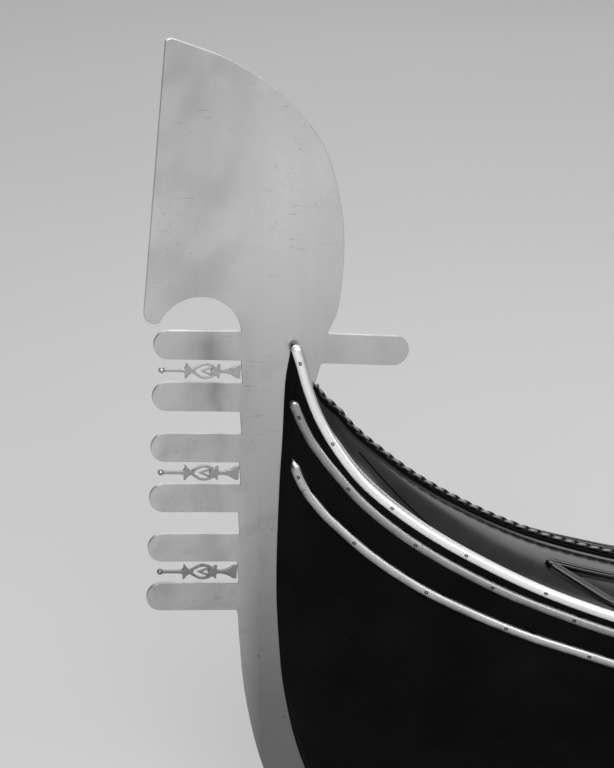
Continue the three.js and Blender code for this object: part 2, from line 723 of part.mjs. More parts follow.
// The walnut rowlock: a post with a curved neck and two notches, standing on its block.
const ROWLOCK_THICKNESS = 58;
const ROWLOCK_FOOT = [[-60, 0], [70, 0]];
const ROWLOCK_CURVES = [
  // bend's x and height, end's x and height
  [82, 90, 60, 170], [46, 230, 78, 280], [120, 330, 96, 392], [60, 432, 30, 404],
  [44, 350, 8, 330], [-34, 330, -30, 400], [-58, 440, -82, 400], [-110, 300, -70, 220],
  [-44, 130, -60, 0],
];
const rowlock = new THREE.Shape();
rowlock.moveTo(...ROWLOCK_FOOT[0]);
rowlock.lineTo(...ROWLOCK_FOOT[1]);
ROWLOCK_CURVES.forEach((curve) => rowlock.quadraticCurveTo(...curve));
const rowlockSolid = sidePlate(rowlock, ROWLOCK_THICKNESS, 0, 6);
rowlockSolid.translate(
  ROWLOCK_X,
  sideDeckMiddle(-1, ROWLOCK_X),
  rimHeight(ROWLOCK_X) + DECK_RISE + ROWLOCK_BLOCK.height + GAP,
);
piece('rowlock', rowlockSolid, 'walnut');

// Floorboards on cross bearers that stand on the bottom.
const FLOOR = -60;
const FLOOR_THICK = 22;
const BEARER = 40;
const WELL_START = stationX(STATIONS[FORE]);
const WELL_END = stationX(STATIONS[AFT]);
const BULKHEAD = 26;
const FLOOR_MARGIN = 8;
const floorStart = WELL_START - BULKHEAD - 2;
const floorEnd = WELL_END + BULKHEAD + 2;
const floorRings = evenly(floorStart, floorEnd, 14).map((x) => [
  new THREE.Vector3(x, inside(1, x, FLOOR) - FLOOR_MARGIN, FLOOR),
  new THREE.Vector3(x, inside(1, x, FLOOR - FLOOR_THICK) - FLOOR_MARGIN, FLOOR - FLOOR_THICK),
  new THREE.Vector3(x, inside(-1, x, FLOOR - FLOOR_THICK) + FLOOR_MARGIN, FLOOR - FLOOR_THICK),
  new THREE.Vector3(x, inside(-1, x, FLOOR) + FLOOR_MARGIN, FLOOR),
]);
const BEARER_MARGIN = 40;
const bearers = evenly(floorStart - 200, floorEnd + 200, 5).map((x) => {
  const foot = Math.max(bottomAt(x - BEARER / 2), bottomAt(x + BEARER / 2)) + 1.5;
  const port = inside(1, x, foot) - BEARER_MARGIN;
  const starboard = inside(-1, x, foot) + BEARER_MARGIN;
  return box(x - BEARER / 2, x + BEARER / 2, starboard, port, foot, FLOOR - FLOOR_THICK + 1);
});
piece('floorboards', join(loft(floorRings), ...bearers), 'floor');

// Carved bulkheads close the two decks. Each has a door, hinged at its port edge.
const DOOR = { half: 230, foot: -40, head: 235, thick: 20, clearance: 5 };
const KNUCKLE = { radius: 7, length: 40 };
const BEAM_RISE = 22;

function knuckle(x, y, z, length) {
  const barrel = new THREE.CylinderGeometry(KNUCKLE.radius, KNUCKLE.radius, length, 12);
  barrel.rotateX(Math.PI / 2);
  barrel.translate(x, y, z + length / 2);
  return barrel;
}

function bulkhead(name, doorName, station, facing) {
  const t = STATIONS[station];
  const deckX = strakeFace(1, t, -DECK_RISE).x;
  const near = deckX + facing * DECK_JOINT;
  const far = deckX + facing * BULKHEAD;
  const [x1, x2] = [Math.min(near, far), Math.max(near, far)];
  const widest = (side, height) => {
    const ys = [x1, x2].map((x) => side * inside(side, x, height));
    return side * Math.min(...ys);
  };
  const shelf = rimHeight(deckX) - DECK + DECK_RISE - 2.5;
  const foot = Math.max(bottomAt(x1), bottomAt(x2)) + 1.5;
  const levels = [foot, foot + (shelf - foot) / 3, foot + (2 * (shelf - foot)) / 3, shelf];
  const edge = (side) => {
    const outer = strakeFace(side, t, -DECK_RISE).y;
    return outer - side * (SIDE_DECK + 2);
  };
  const topLine = evenly(1, -1, 10).map((share) => {
    const y = share > 0 ? edge(1) * share : edge(-1) * -share;
    const rim = strakeFace(Math.sign(share) || 1, t, -DECK_RISE);
    const across = Math.abs(y / rim.y);
    return [y, rim.z + crown(fromPost(t)) * (1 - across * across) + BEAM_RISE];
  });
  const outline = [
    ...levels.map((z) => [widest(1, z), z]),
    [edge(1), shelf], ...topLine, [edge(-1), shelf],
    ...levels.reverse().map((z) => [widest(-1, z), z]),
  ];
  const y = middleLine(deckX);
  const opening = box(x1 - 5, x2 + 5, y - DOOR.half, y + DOOR.half, DOOR.foot, DOOR.head);
  const panel = crossPlate(outline, x1, x2, [opening]);
  const face = facing > 0 ? x2 : x1;
  const axisX = face + facing * KNUCKLE.radius;
  const axisY = y + DOOR.half - DOOR.clearance / 2;
  const gap = DOOR.clearance;
  const back = face - facing * DOOR.thick;
  const leaf = box(
    Math.min(face, back), Math.max(face, back),
    y - DOOR.half + gap, y + DOOR.half - gap, DOOR.foot + gap, DOOR.head - gap,
  );
  const fixed = [];
  const moving = [];
  for (const z of [DOOR.foot + 50, DOOR.head - 50 - 2 * KNUCKLE.length]) {
    const strap = KNUCKLE.radius;
    const upper = z + KNUCKLE.length + GAP;
    fixed.push(knuckle(axisX, axisY, z, KNUCKLE.length));
    fixed.push(box(
      Math.min(face - facing, axisX), Math.max(face - facing, axisX),
      axisY, y + DOOR.half + 34, z, z + KNUCKLE.length,
    ));
    moving.push(knuckle(axisX, axisY, upper, KNUCKLE.length));
    moving.push(box(
      Math.min(face - facing, axisX), Math.max(face - facing, axisX),
      axisY - 40, axisY, upper, upper + KNUCKLE.length,
    ));
  }
  piece(name, join(panel, ...fixed), 'walnut');
  piece(doorName, join(leaf, ...moving), 'walnut');
}

bulkhead('foredeck_bulkhead', 'fore_locker_door', FORE, -1);
bulkhead('afterdeck_bulkhead', 'aft_locker_door', AFT, 1);

// Cross seats, their ends on the side boards.
const THWARTS = [
  // name, middle, half length, top
  ['thwart_forward', 2000, 90, 150],
  ['thwart_aft', -1500, 90, 150],
];
const THWART_THICK = 28;
for (const [name, x, half, top] of THWARTS) {
  const rings = [x - half, x + half].map((at) => [
    new THREE.Vector3(at, inside(1, at, top), top),
    new THREE.Vector3(at, inside(1, at, top - THWART_THICK), top - THWART_THICK),
    new THREE.Vector3(at, inside(-1, at, top - THWART_THICK), top - THWART_THICK),
    new THREE.Vector3(at, inside(-1, at, top), top),
  ]);
  piece(name, loft(rings), 'walnut');
}

// The passengers' seat: base, cushion and a two-lobed padded back that leans aft.
const SEAT = { front: -240, back: -800, half: 430, top: 170, cushion: 90, lean: 0.17 };
const CUSHION_BACK = 60;
const CUSHION_INSET = 10;
const BACK_SET = 22;
const seatY = middleLine(SEAT.back);
const [seatRight, seatLeft] = [seatY - SEAT.half, seatY + SEAT.half];
const seatBase = box(SEAT.back, SEAT.front, seatRight, seatLeft, FLOOR + GAP, SEAT.top);
piece('seat_base', seatBase, 'blackPaint');
piece('seat_cushion', box(
  SEAT.back + CUSHION_BACK, SEAT.front - CUSHION_INSET,
  seatRight + CUSHION_INSET, seatLeft - CUSHION_INSET,
  SEAT.top + GAP, SEAT.top + SEAT.cushion,
), 'cloth');

const BACK_THICK = 70;
const BACK_EDGES = [[-400, 0], [400, 0], [440, 330]];
const BACK_CURVES = [
  // bend's y and height, end's y and height
  [450, 520, 330, 560], [190, 600, 90, 540], [50, 520, 46, 560], [0, 660, -46, 560],
  [-50, 520, -90, 540], [-190, 600, -330, 560], [-450, 520, -440, 330],
];
const backShape = new THREE.Shape();
backShape.moveTo(...BACK_EDGES[0]);
backShape.lineTo(...BACK_EDGES[1]);
backShape.lineTo(...BACK_EDGES[2]);
BACK_CURVES.forEach((curve) => backShape.quadraticCurveTo(...curve));
const backOutline = backShape.getPoints(5).map((p) => [p.x, p.y]);
const seatBack = crossPlate(backOutline.slice(0, -1), -BACK_THICK, 0);
seatBack.rotateY(-SEAT.lean);
seatBack.translate(SEAT.back - BACK_SET, seatY, 0);
seatBack.computeBoundingBox();
seatBack.translate(0, 0, FLOOR + GAP - seatBack.boundingBox.min.z);
piece('seat_back', seatBack, 'leather');

// Low benches along both sides ahead of the seat, each with a long cushion.
const BENCH = { start: 1250, end: -120, width: 250, top: 130, cushion: 55 };
for (const [name, side] of SIDES) {
  const block = (low, high, shrink) => {
    const rings = evenly(BENCH.start - shrink, BENCH.end + shrink, 6).map((x) => {
      const inner = inside(side, x, FLOOR) - side * BENCH.width;
      return [
        new THREE.Vector3(x, inside(side, x, low) - side * shrink, low),
        new THREE.Vector3(x, inside(side, x, high) - side * shrink, high),
        new THREE.Vector3(x, inner + side * shrink, high),
        new THREE.Vector3(x, inner + side * shrink, low),
      ];
    });
    return loft(rings);
  };
  piece(`side_bench_${name}`, block(FLOOR + GAP, BENCH.top, 0), 'blackPaint');
  piece(`side_cushion_${name}`, block(BENCH.top + GAP, BENCH.top + BENCH.cushion, 8), 'leather');
}

// The rower's sloping footrest on the after deck.
const FOOTREST = { x: -3000, length: 300, width: 220, low: 14, high: 60 };
const footY = middleLine(FOOTREST.x) * 0.5;

// The ridge's top at an x between two stations, on the ridge's own flat faces.
function ridgeTopAt(x) {
  const k = STATIONS.findIndex((t) => deckTop(1, t, 0).x < x);
  const [before, after] = [deckTop(1, STATIONS[k - 1], 0), deckTop(1, STATIONS[k], 0)];
  const share = (before.x - x) / (before.x - after.x);
  return THREE.MathUtils.lerp(before.z, after.z, share) + GAP + RIDGE_HEIGHT;
}
const footGround = ridgeTopAt(FOOTREST.x - FOOTREST.length / 2) + GAP;
piece('footrest', crossPlate([
  [footY - FOOTREST.width / 2, footGround], [footY + FOOTREST.width / 2, footGround],
  [footY + FOOTREST.width / 2, footGround + FOOTREST.low],
  [footY - FOOTREST.width / 2, footGround + FOOTREST.high],
], FOOTREST.x - FOOTREST.length / 2, FOOTREST.x + FOOTREST.length / 2), 'walnut');

export default group;
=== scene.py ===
# A gondola afloat, full size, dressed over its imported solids. Metres: +X forward, +Y port, +Z up,
# with the waterline at z = 0. Tables of sizes are in millimetres, as they were drawn.
import math

import bpy
import numpy as np
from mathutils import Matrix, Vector


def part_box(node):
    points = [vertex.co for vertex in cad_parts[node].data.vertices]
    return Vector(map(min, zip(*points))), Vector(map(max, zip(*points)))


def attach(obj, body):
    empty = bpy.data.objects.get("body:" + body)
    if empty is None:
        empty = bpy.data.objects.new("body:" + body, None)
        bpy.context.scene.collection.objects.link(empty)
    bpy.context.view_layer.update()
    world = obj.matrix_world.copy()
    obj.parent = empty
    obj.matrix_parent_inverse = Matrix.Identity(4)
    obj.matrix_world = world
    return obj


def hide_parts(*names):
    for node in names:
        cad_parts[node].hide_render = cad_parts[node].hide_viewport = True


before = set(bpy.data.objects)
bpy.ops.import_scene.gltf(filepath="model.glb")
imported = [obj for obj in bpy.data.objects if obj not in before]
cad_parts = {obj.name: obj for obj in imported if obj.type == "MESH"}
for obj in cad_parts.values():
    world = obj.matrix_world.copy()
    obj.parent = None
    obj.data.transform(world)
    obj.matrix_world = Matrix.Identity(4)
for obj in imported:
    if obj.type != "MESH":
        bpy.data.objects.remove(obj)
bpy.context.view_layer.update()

# The photograph was taken from beside the port bow, about a metre over the iron's top. The camera
# looks down at the bow by 20 degrees through a long lens, so that upright lines hardly lean.
AIM = (5.153, 0.0, 1.131)
CAMERA_PLACE = (6.032, 4.136, 2.670)


def aimed(name, data, place, aim):
    """A camera or lamp at one place, turned to look at another."""
    made = bpy.data.objects.new(name, data)
    made.location = place
    made.rotation_euler = (Vector(aim) - Vector(place)).to_track_quat("-Z", "Y").to_euler()
    bpy.context.scene.collection.objects.link(made)
    return made


camera_data = bpy.data.cameras.new("camera")
camera_data.sensor_width = 36.0
camera_data.lens = 120.2
camera_data.clip_end = 300.0
bpy.context.scene.camera = aimed("camera", camera_data, CAMERA_PLACE, AIM)

# Soft studio light: a wide box over the camera, one overhead, a dim one far behind the boat, a
# small one from aft, and pale air. The iron mirrors the floor before it, which the first box lights.
LIGHT_BOXES = (
    # name, place, aim, width, height, power
    ("box_over_camera", (6.5, 6.5, 5.0), (5.2, 3.2, 0.0), 5.0, 3.5, 520.0),
    ("box_overhead", (4.0, -1.5, 7.0), (4.0, -1.0, 0.0), 7.0, 5.0, 330.0),
    ("box_behind", (2.0, -9.5, 5.0), (4.0, -1.5, 0.0), 14.0, 5.0, 240.0),
    ("box_aft", (-1.0, 6.5, 5.0), (5.2, 0.0, 1.2), 3.0, 3.0, 160.0),
)
for name, place, aim, width, height, power in LIGHT_BOXES:
    light = bpy.data.lights.new(name, "AREA")
    light.shape = "RECTANGLE"
    light.size = width
    light.size_y = height
    light.energy = power
    aimed(name, light, place, aim)
air = bpy.data.worlds.new("pale_air")
air.use_nodes = True
air.node_tree.nodes["Background"].inputs["Color"].default_value = (0.62, 0.63, 0.64, 1)
air.node_tree.nodes["Background"].inputs["Strength"].default_value = 0.6
bpy.context.scene.world = air
bpy.context.scene.view_settings.view_transform = "Standard"

# The bow iron is one forged plate of satin steel: a blade, an arch, six teeth that point forward,
# one that points aft, and a strip down the stem. It is hand polished, so it has fine scratches,
# small pits and slow waves, and its edges are rubbed bright.
MM = 0.001
IRON_PLATE = 0.009
IRON_EDGE = 0.0011
STEM_HEAD = np.array([5.180, 0.0, 1.210])
STEM_FORWARD = (
    # height, forward of the stem head
    (5, -640), (50, -430), (110, -260), (190, -140), (290, -62), (383, -18), (492, 10),
    (592, 24), (746, 31), (936, 25), (1029, 19), (1127, 14), (1210, 2),
)
TEETH = 6
TOOTH_ROOT = (88, 1)
TOOTH_HEIGHT = 53
TOOTH_LENGTH = 156
TOOTH_PITCH = 95
ROOT_FORWARD_EACH = 2.6
LONGER_EACH = 1.9
TOOTH_LEAN = math.atan(0.09)
BLADE_FRONT = ((213, 540), (259, 74))
BEAK = ((259, 74), (257.5, 62), (250.5, 54.5), (242, 52.2), (233, 53))
ARCH_MIDDLE = (0.1645, 0.020)
ARCH_RADIUS = 0.0755
BACK_BELOW_TOOTH = ((-40, -81), (-51, -43))
AFT_TOOTH_ROOT = (-62, -14.5)
AFT_TOOTH_LEAN = math.atan2(-0.105, -1)
AFT_TOOTH_LENGTH = 0.148
AFT_TOOTH_HEIGHT = 0.054
BLADE_BACK = (
    (-62, 13), (-82, 60), (-92, 161), (-84, 256), (-53, 356), (15, 442), (102, 505), (194, 545),
)
BLADE_TIP = ((194, 545), (204, 547.5), (211, 545), (213, 540))
STEEL = (0.69, 0.69, 0.685, 1)
# Dull steel, also the dark side of the painted reflections on the plate.
DULL_AND_SHADED_STEEL = (0.50, 0.50, 0.495, 1)


def grey(shade):
    return (shade, shade, shade, 1)


class Value:
    """A number that varies over a surface, held by a node's output. Adding such values, taking
    them away or multiplying them adds Math nodes."""

    def __init__(self, finish, socket):
        self.finish = finish
        self.socket = socket

    def maths(self, operation, first, second):
        return self.finish.node("ShaderNodeMath", {"operation": operation}, {0: first, 1: second})

    def __add__(self, other):
        return self.maths("ADD", self, other)

    def __radd__(self, other):
        return self.maths("ADD", other, self)

    def __sub__(self, other):
        return self.maths("SUBTRACT", self, other)

    def __rsub__(self, other):
        return self.maths("SUBTRACT", other, self)

    def __mul__(self, other):
        return self.maths("MULTIPLY", self, other)

    def __rmul__(self, other):
        return self.maths("MULTIPLY", other, self)


class Finish:
    """A material made of nodes round one Principled shader."""

    def __init__(self, name, metallic=0.0, ior=1.45):
        self.material = bpy.data.materials.new(name)
        self.material.use_nodes = True
        self.tree = self.material.node_tree
        self.shader = self.tree.nodes["Principled BSDF"]
        self.shader.inputs["Metallic"].default_value = metallic
        self.shader.inputs["IOR"].default_value = ior
        self.place = self.node("ShaderNodeTexCoord", out="Object")

    def node(self, kind, settings=None, sockets=None, out=0):
        """Adds a node, with its settings first, a ramp's stops among them, and then the values or
        links of its sockets. Gives back the output named or numbered out."""
        node = self.tree.nodes.new(kind)
        for name, value in (settings or {}).items():
            if name == "stops":
                ramp = node.color_ramp.elements
                for number, (position, shade) in enumerate(value):
                    stop = ramp[number] if number < 2 else ramp.new(position)
                    stop.position = position
                    stop.color = (shade, shade, shade, 1)
            else:
                setattr(node, name, value)
        for name, value in (sockets or {}).items():
            self.feed(node.inputs[name], value)
        return Value(self, node.outputs[out])

    def feed(self, socket, value):
        if isinstance(value, Value):
            self.tree.links.new(value.socket, socket)
        else:
            socket.default_value = value

    def axis(self, number):
        """How far the place is along X, Y or Z, which are 0, 1 and 2."""
        return self.node("ShaderNodeSeparateXYZ", None, {0: self.place}, out=number)

    def attribute(self, name):
        """A number that the points of the piece carry."""
        return self.node("ShaderNodeAttribute", {"attribute_name": name}, out="Fac")

    def stretched(self, stretch, turn=(0.0, 0.0, 0.0)):
        """The place on the surface, turned and then stretched along each axis."""
        turned = self.node("ShaderNodeMapping", None, {"Vector": self.place, "Rotation": turn})
        return self.node("ShaderNodeMapping", None, {"Vector": turned, "Scale": stretch})

    def cloud(self, scale, detail=4.0, roughness=0.5, place=None):
        """Noise from 0 to 1 with so many cycles to the metre."""
        sockets = {
            "Vector": place or self.place, "Scale": scale, "Detail": detail, "Roughness": roughness,
        }
        return self.node("ShaderNodeTexNoise", None, sockets)

    def ramp(self, value, *stops):
        """value passed through a curve of stops, each a position and a shade from 0 to 1."""
        return self.node("ShaderNodeValToRGB", {"stops": stops}, {0: value})

    def patches(self, low, high, scale, detail=4.0, roughness=0.5, place=None):
        """Patches cut out of the noise: 0 where it is under low, 1 where it is over high."""
        return self.ramp(self.cloud(scale, detail, roughness, place), (low, 0), (high, 1))

    def mix(self, share, first, second):
        """The first colour where share is 0 and the second where it is 1."""
        sockets = {0: share, 6: first, 7: second}
        return self.node("ShaderNodeMix", {"data_type": "RGBA"}, sockets, out=2)

    def bump(self, height, depth):
        """A normal from a height of 0 to 1 that stands for depth in metres."""
        sockets = {"Height": height, "Distance": depth, "Strength": 1.0}
        return self.node("ShaderNodeBump", None, sockets)

    def dress(self, colour, roughness, normal=None):
        self.feed(self.shader.inputs["Base Color"], colour)
        self.feed(self.shader.inputs["Roughness"], roughness)
        if normal is not None:
            self.feed(self.shader.inputs["Normal"], normal)
        return self.material


def unit(vectors):
    """The vectors at a length of 1."""
    return vectors / np.linalg.norm(vectors, axis=-1, keepdims=True)


def smooth(at, low, high):
    """0 below low, 1 above high and 3 s^2 - 2 s^3 between them."""
    share = np.clip((at - low) / (high - low), 0, 1)
    return share * share * (3 - 2 * share)


def eased(rows):
    """A smooth curve through rows of (place, value) in millimetres, used in metres: a cubic
    between rows whose slope at a row is the harmonic mean of the two slopes beside it."""
    place, value = np.array(rows, float).T * MM
    slope = np.diff(value) / np.diff(place)
    product = slope[:-1] * slope[1:]
    total = np.where(product > 0, slope[:-1] + slope[1:], 1.0)
    inner = np.where(product > 0, 2 * product / total, 0.0)
    tangent = np.concatenate([slope[:1], inner, slope[-1:]])

    def curve(at):
        at = np.asarray(at, float)
        row = np.clip(np.searchsorted(place, at) - 1, 0, len(place) - 2)
        width = place[row + 1] - place[row]
        share = np.clip((at - place[row]) / width, 0, 1)
        rise = value[row + 1] - value[row]
        bend = (tangent[row] * width - rise) * (1 - share)
        bend = bend - (tangent[row + 1] * width - rise) * share
        return value[row] + rise * share + share * (1 - share) * bend

    return curve


stem_forward = eased(STEM_FORWARD)


def along_points(points, count):
    """count points on a smooth curve through the given ones: Catmull-Rom, each piece a cubic
    whose end slopes are half the way between the points beside it."""
    points = np.array(points, float)
    padded = np.concatenate([2 * points[:1] - points[1:2], points, 2 * points[-1:] - points[-2:-1]])
    at = np.linspace(0, len(points) - 1, count)
    row = np.minimum(at.astype(int), len(points) - 2)
    share = (at - row)[:, None]
    before, start, end, after = (padded[row + k] for k in range(4))
    return 0.5 * (
        2 * start + (end - before) * share
        + (2 * before - 5 * start + 4 * end - after) * share ** 2
        + (3 * start - before - 3 * end + after) * share ** 3
    )


def round_angles(count):
    """count angles, evenly round a circle."""
    return np.linspace(0, 2 * math.pi, count, endpoint=False)


def arc(centre, radius, start, end, count):
    """count points round a circle from one angle to another."""
    angle = np.linspace(start, end, count)
    return np.stack([centre[0] + radius * np.cos(angle), centre[1] + radius * np.sin(angle)], 1)


def tooth_root(number):
    """The middle of the root of a tooth, counted from 0 at the top."""
    return np.array([
        TOOTH_ROOT[0] + ROOT_FORWARD_EACH * number, TOOTH_ROOT[1] - TOOTH_PITCH * number,
    ]) * MM


def tooth_outline(root, lean, length, height):
    """A tooth's outline from its upper root corner round its half-round end to the lower one."""
    along = np.array([math.cos(lean), math.sin(lean)])
    end = np.array(root) + along * (length - height / 2)
    across = np.array([-along[1], along[0]]) * height / 2
    nose = arc(end, height / 2, lean + math.pi / 2, lean - math.pi / 2, 17)
    return np.concatenate([[root + across], nose, [root - across]])


def stem_offset(height, forward):
    """Points at right angles to the stem's front line, at heights and distances in metres."""
    step = 0.004
    slope = (stem_forward(height + step) - stem_forward(height)) / step
    size = np.hypot(slope, 1)
    return np.stack([
        stem_forward(height) + forward / size,
        height - forward * slope / size - STEM_HEAD[2],
    ], 1)


def iron_outline():
    """The whole iron's outline in metres from the stem's head, (forward, up), going round it
    clockwise: blade front, beak, arch, six teeth, strip, hidden edge, aft tooth and back."""
    parts = [np.array(BLADE_FRONT) * MM, along_points(BEAK, 12)[1:] * MM]
    parts.append(arc(ARCH_MIDDLE, ARCH_RADIUS, math.atan2(33, 68.5), math.pi - 0.1, 30))
    for number in range(TEETH):
        length = (TOOTH_LENGTH + LONGER_EACH * number) * MM
        parts.append(tooth_outline(tooth_root(number), TOOTH_LEAN, length, TOOTH_HEIGHT * MM))
    share = np.linspace(1, 0, 40)
    height = 0.110 + 0.590 * share ** 1.5
    parts.append(stem_offset(height, 0.024 + 0.046 * smooth(height, 0.110, 0.330)))
    height = 0.110 + 0.970 * share[::-1] ** 1.7
    parts.append(stem_offset(height, -0.030 * (0.2 + 0.8 * smooth(height, 0.110, 0.420))))
    parts.append(np.array(BACK_BELOW_TOOTH) * MM)
    root = np.array(AFT_TOOTH_ROOT) * MM
    parts.append(tooth_outline(root, AFT_TOOTH_LEAN, AFT_TOOTH_LENGTH, AFT_TOOTH_HEIGHT))
    parts.append(along_points(BLADE_BACK, 90)[1:] * MM)
    parts.append(along_points(BLADE_TIP, 8)[1:-1] * MM)
    return np.concatenate(parts)


def thinned(outline, least):
    """The closed outline without points closer than least to the one before them."""
    kept = [outline[0]]
    for point in outline[1:]:
        if np.hypot(*(point - kept[-1])) > least:
            kept.append(point)
    return np.array(kept)


def inset(outline, distance):
    """The closed clockwise outline moved inwards: each point goes along the mean of its two
    edges' normals, far enough to keep both edges at that distance."""
    ahead = unit(np.roll(outline, -1, 0) - outline)
    inward = np.stack([ahead[:, 1], -ahead[:, 0]], 1)
    middle = inward + np.roll(inward, 1, 0)
    middle /= np.maximum((middle * inward).sum(1), 0.35)[:, None]
    return outline + middle * distance


def plate(outline, thickness, edge, steps=3):
    """Rings of points round a plate with rounded edges: the outline is carried round a quarter
    circle at each face, so that it draws in by edge there. (forward, up) becomes (x, y, z)."""
    turn = np.linspace(0, math.pi / 2, steps + 1)
    flat = thickness / 2 - edge
    depths = np.concatenate([-flat - edge * np.cos(turn), flat + edge * np.sin(turn)])
    insets = np.concatenate([edge * (1 - np.sin(turn)), edge * (1 - np.cos(turn))])
    rings = []
    for depth, narrower in zip(depths, insets):
        line = inset(outline, narrower)
        rings.append(np.stack([line[:, 0], np.full(len(line), depth), line[:, 1]], 1))
    return np.array(rings)


def skin(rings, closed=False):
    """Points and faces of the surface through equal rings: face (i, j) joins points j and j + 1
    of ring i to those of ring i + 1. One flat face closes each end ring unless closed, when the
    last ring joins the first."""
    rings = np.asarray(rings, float)
    count, around = rings.shape[:2]
    spans = count if closed else count - 1
    i, j = np.meshgrid(np.arange(spans), np.arange(around), indexing="ij")
    after = (i + 1) % count
    beside = (j + 1) % around
    corners = (i * around + j, i * around + beside, after * around + beside, after * around + j)
    faces = np.stack(corners, -1).reshape(-1, 4).tolist()
    if not closed:
        faces.append(list(range(around))[::-1])
        faces.append(list(range((count - 1) * around, count * around)))
    return rings.reshape(-1, 3), faces


def facing_out(points, faces):
    """The faces, turned over where the volume that they close comes out below zero."""
    flat = np.array([(f[0], f[k], f[k + 1]) for f in faces for k in range(1, len(f) - 1)])
    a, b, c = points[flat[:, 0]], points[flat[:, 1]], points[flat[:, 2]]
    volume = np.einsum("ij,ij->i", a, np.cross(b, c)).sum()
    return faces if volume > 0 else [f[::-1] for f in faces]


def piece(name, shells, finish, stands_for=(), body="root", smooth_below=32):
    """One named piece of the boat from closed shells, each (points, faces). Edges that turn by
    less than smooth_below degrees are shaded smooth."""
    points, faces, start = [], [], 0
    for shell_points, shell_faces in shells:
        faces += [[k + start for k in f] for f in facing_out(shell_points, shell_faces)]
        points.append(shell_points)
        start += len(shell_points)
    mesh = bpy.data.meshes.new(name)
    mesh.from_pydata(np.concatenate(points).tolist(), [], faces)
    mesh.materials.append(finish)
    mesh.polygons.foreach_set("use_smooth", np.ones(len(faces), bool))
    mesh.set_sharp_from_angle(angle=math.radians(smooth_below))
    made = bpy.data.objects.new(name, mesh)
    bpy.context.scene.collection.objects.link(made)
    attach(made, body)
    if stands_for:
        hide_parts(*stands_for)
    return made


def satin_steel():
    """Hand polished steel: slow waves from the hammer, fine scratches both ways, small pits and
    duller patches, rubbed brighter in between. Painted reflection darkens it softly in broad patches
    and level bands, painted shade lies in soft dips across the upper teeth and fainter over the
    forward part, and a painted reflection darkens the strip towards its foot."""
    finish = Finish("satin_steel", metallic=1.0)
    height = finish.axis(2)
    forward = finish.axis(0)
    fine = finish.cloud(300.0, 3.0, 0.6)
    streaks = finish.cloud(1.0, 3.0, 0.6, finish.stretched((150, 150, 5)))
    # Painted reflection: broad soft patches and level bands darken the steel.
    painted_broad_shade = finish.patches(0.32, 0.68, 3.1, 1.5, 0.45)
    painted_reflection_bands = finish.patches(0.34, 0.66, 1.0, 2.0, 0.5, finish.stretched((7, 1, 1.6)))
    tone = finish.mix(painted_broad_shade * 0.35 + painted_reflection_bands * 0.45 + streaks * 0.22, STEEL, DULL_AND_SHADED_STEEL)

    ahead = finish.ramp((forward - 5.24) * 8.0, (0.0, 0), (0.5, 1))
    upper = finish.ramp(height * 0.5, (0.50, 0.30), (0.57, 1), (0.61, 1), (0.63, 0))
    # Painted shade in soft dips across the upper teeth, in front of the stem.
    bend = (forward - 5.262) * 8.0 + (finish.cloud(14.0, 1.0, 0.5) - 0.5) * 0.5
    tooth_shade_stops = ((0.0, 0.8), (0.14, 0.05), (0.28, 0.25), (0.44, 1), (0.66, 0.35), (1.0, 0))
    painted_tooth_shade = finish.ramp(bend, *tooth_shade_stops)
    # Fainter painted shade in soft patches over the forward part.
    painted_faint_shade = finish.patches(0.42, 0.62, 1.0, 1.5, 0.5, finish.stretched((15, 1, 9), (0, 0.5, 0)))
    # Painted reflection: the plate is darker towards the foot of the strip, less so in front.
    foot = finish.ramp(height * 0.5, (0.26, 1), (0.70, 0))
    tone = finish.mix(painted_tooth_shade * upper * ahead * 0.55, tone, grey(0.14))
    tone = finish.mix(painted_faint_shade * ahead * 0.16, tone, grey(0.14))
    tone = finish.mix(foot * (0.90 - ahead * 0.55), tone, grey(0.13))

    worn = finish.ramp(height * 0.8, (0.45, 1), (1.0, 0.16))
    places = finish.ramp(finish.cloud(9.0, 3.0, 0.6), (0.48, 0.05), (0.60, 1))
    patches = finish.patches(0.52, 0.74, 20.0, 5.0, 0.62)
    smears = finish.patches(0.60, 0.68, 52.0, 3.0, 0.6, finish.stretched((1, 1, 2.6)))
    pits = finish.patches(0.70, 0.745, 150.0, 2.0, 0.5) * places
    level = finish.patches(0.665, 0.70, 17.0, 2.0, 0.6, finish.stretched((1, 1, 22), (0, 0.08, 0)))
    slant = finish.patches(0.69, 0.72, 26.0, 2.0, 0.6, finish.stretched((1, 1, 30), (0, -0.45, 0)))
    scratches = (level + slant) * places
    tone = finish.mix(patches * worn * 0.5 + smears * worn * places * 0.5, tone, grey(0.20))
    tone = finish.mix(pits * (0.35 + worn * 0.5), tone, grey(0.05))
    tone = finish.mix(scratches * 0.42, tone, grey(0.10))
    roughness = 0.27 + patches * 0.12 + fine * 0.05 + streaks * 0.06 + scratches * 0.08
    relief = finish.cloud(6.0, 1.0, 0.4) * 1.1 + fine * 0.01 - scratches * 0.01 - pits * 0.03
    return finish.dress(tone, roughness, finish.bump(relief, 0.0022))


steel = satin_steel()
iron_points = thinned(iron_outline(), 0.0009)
iron_rings = plate(iron_points, IRON_PLATE, IRON_EDGE) + STEM_HEAD
piece("iron_plate", [skin(iron_rings)], steel, ["bow_iron"], smooth_below=14)

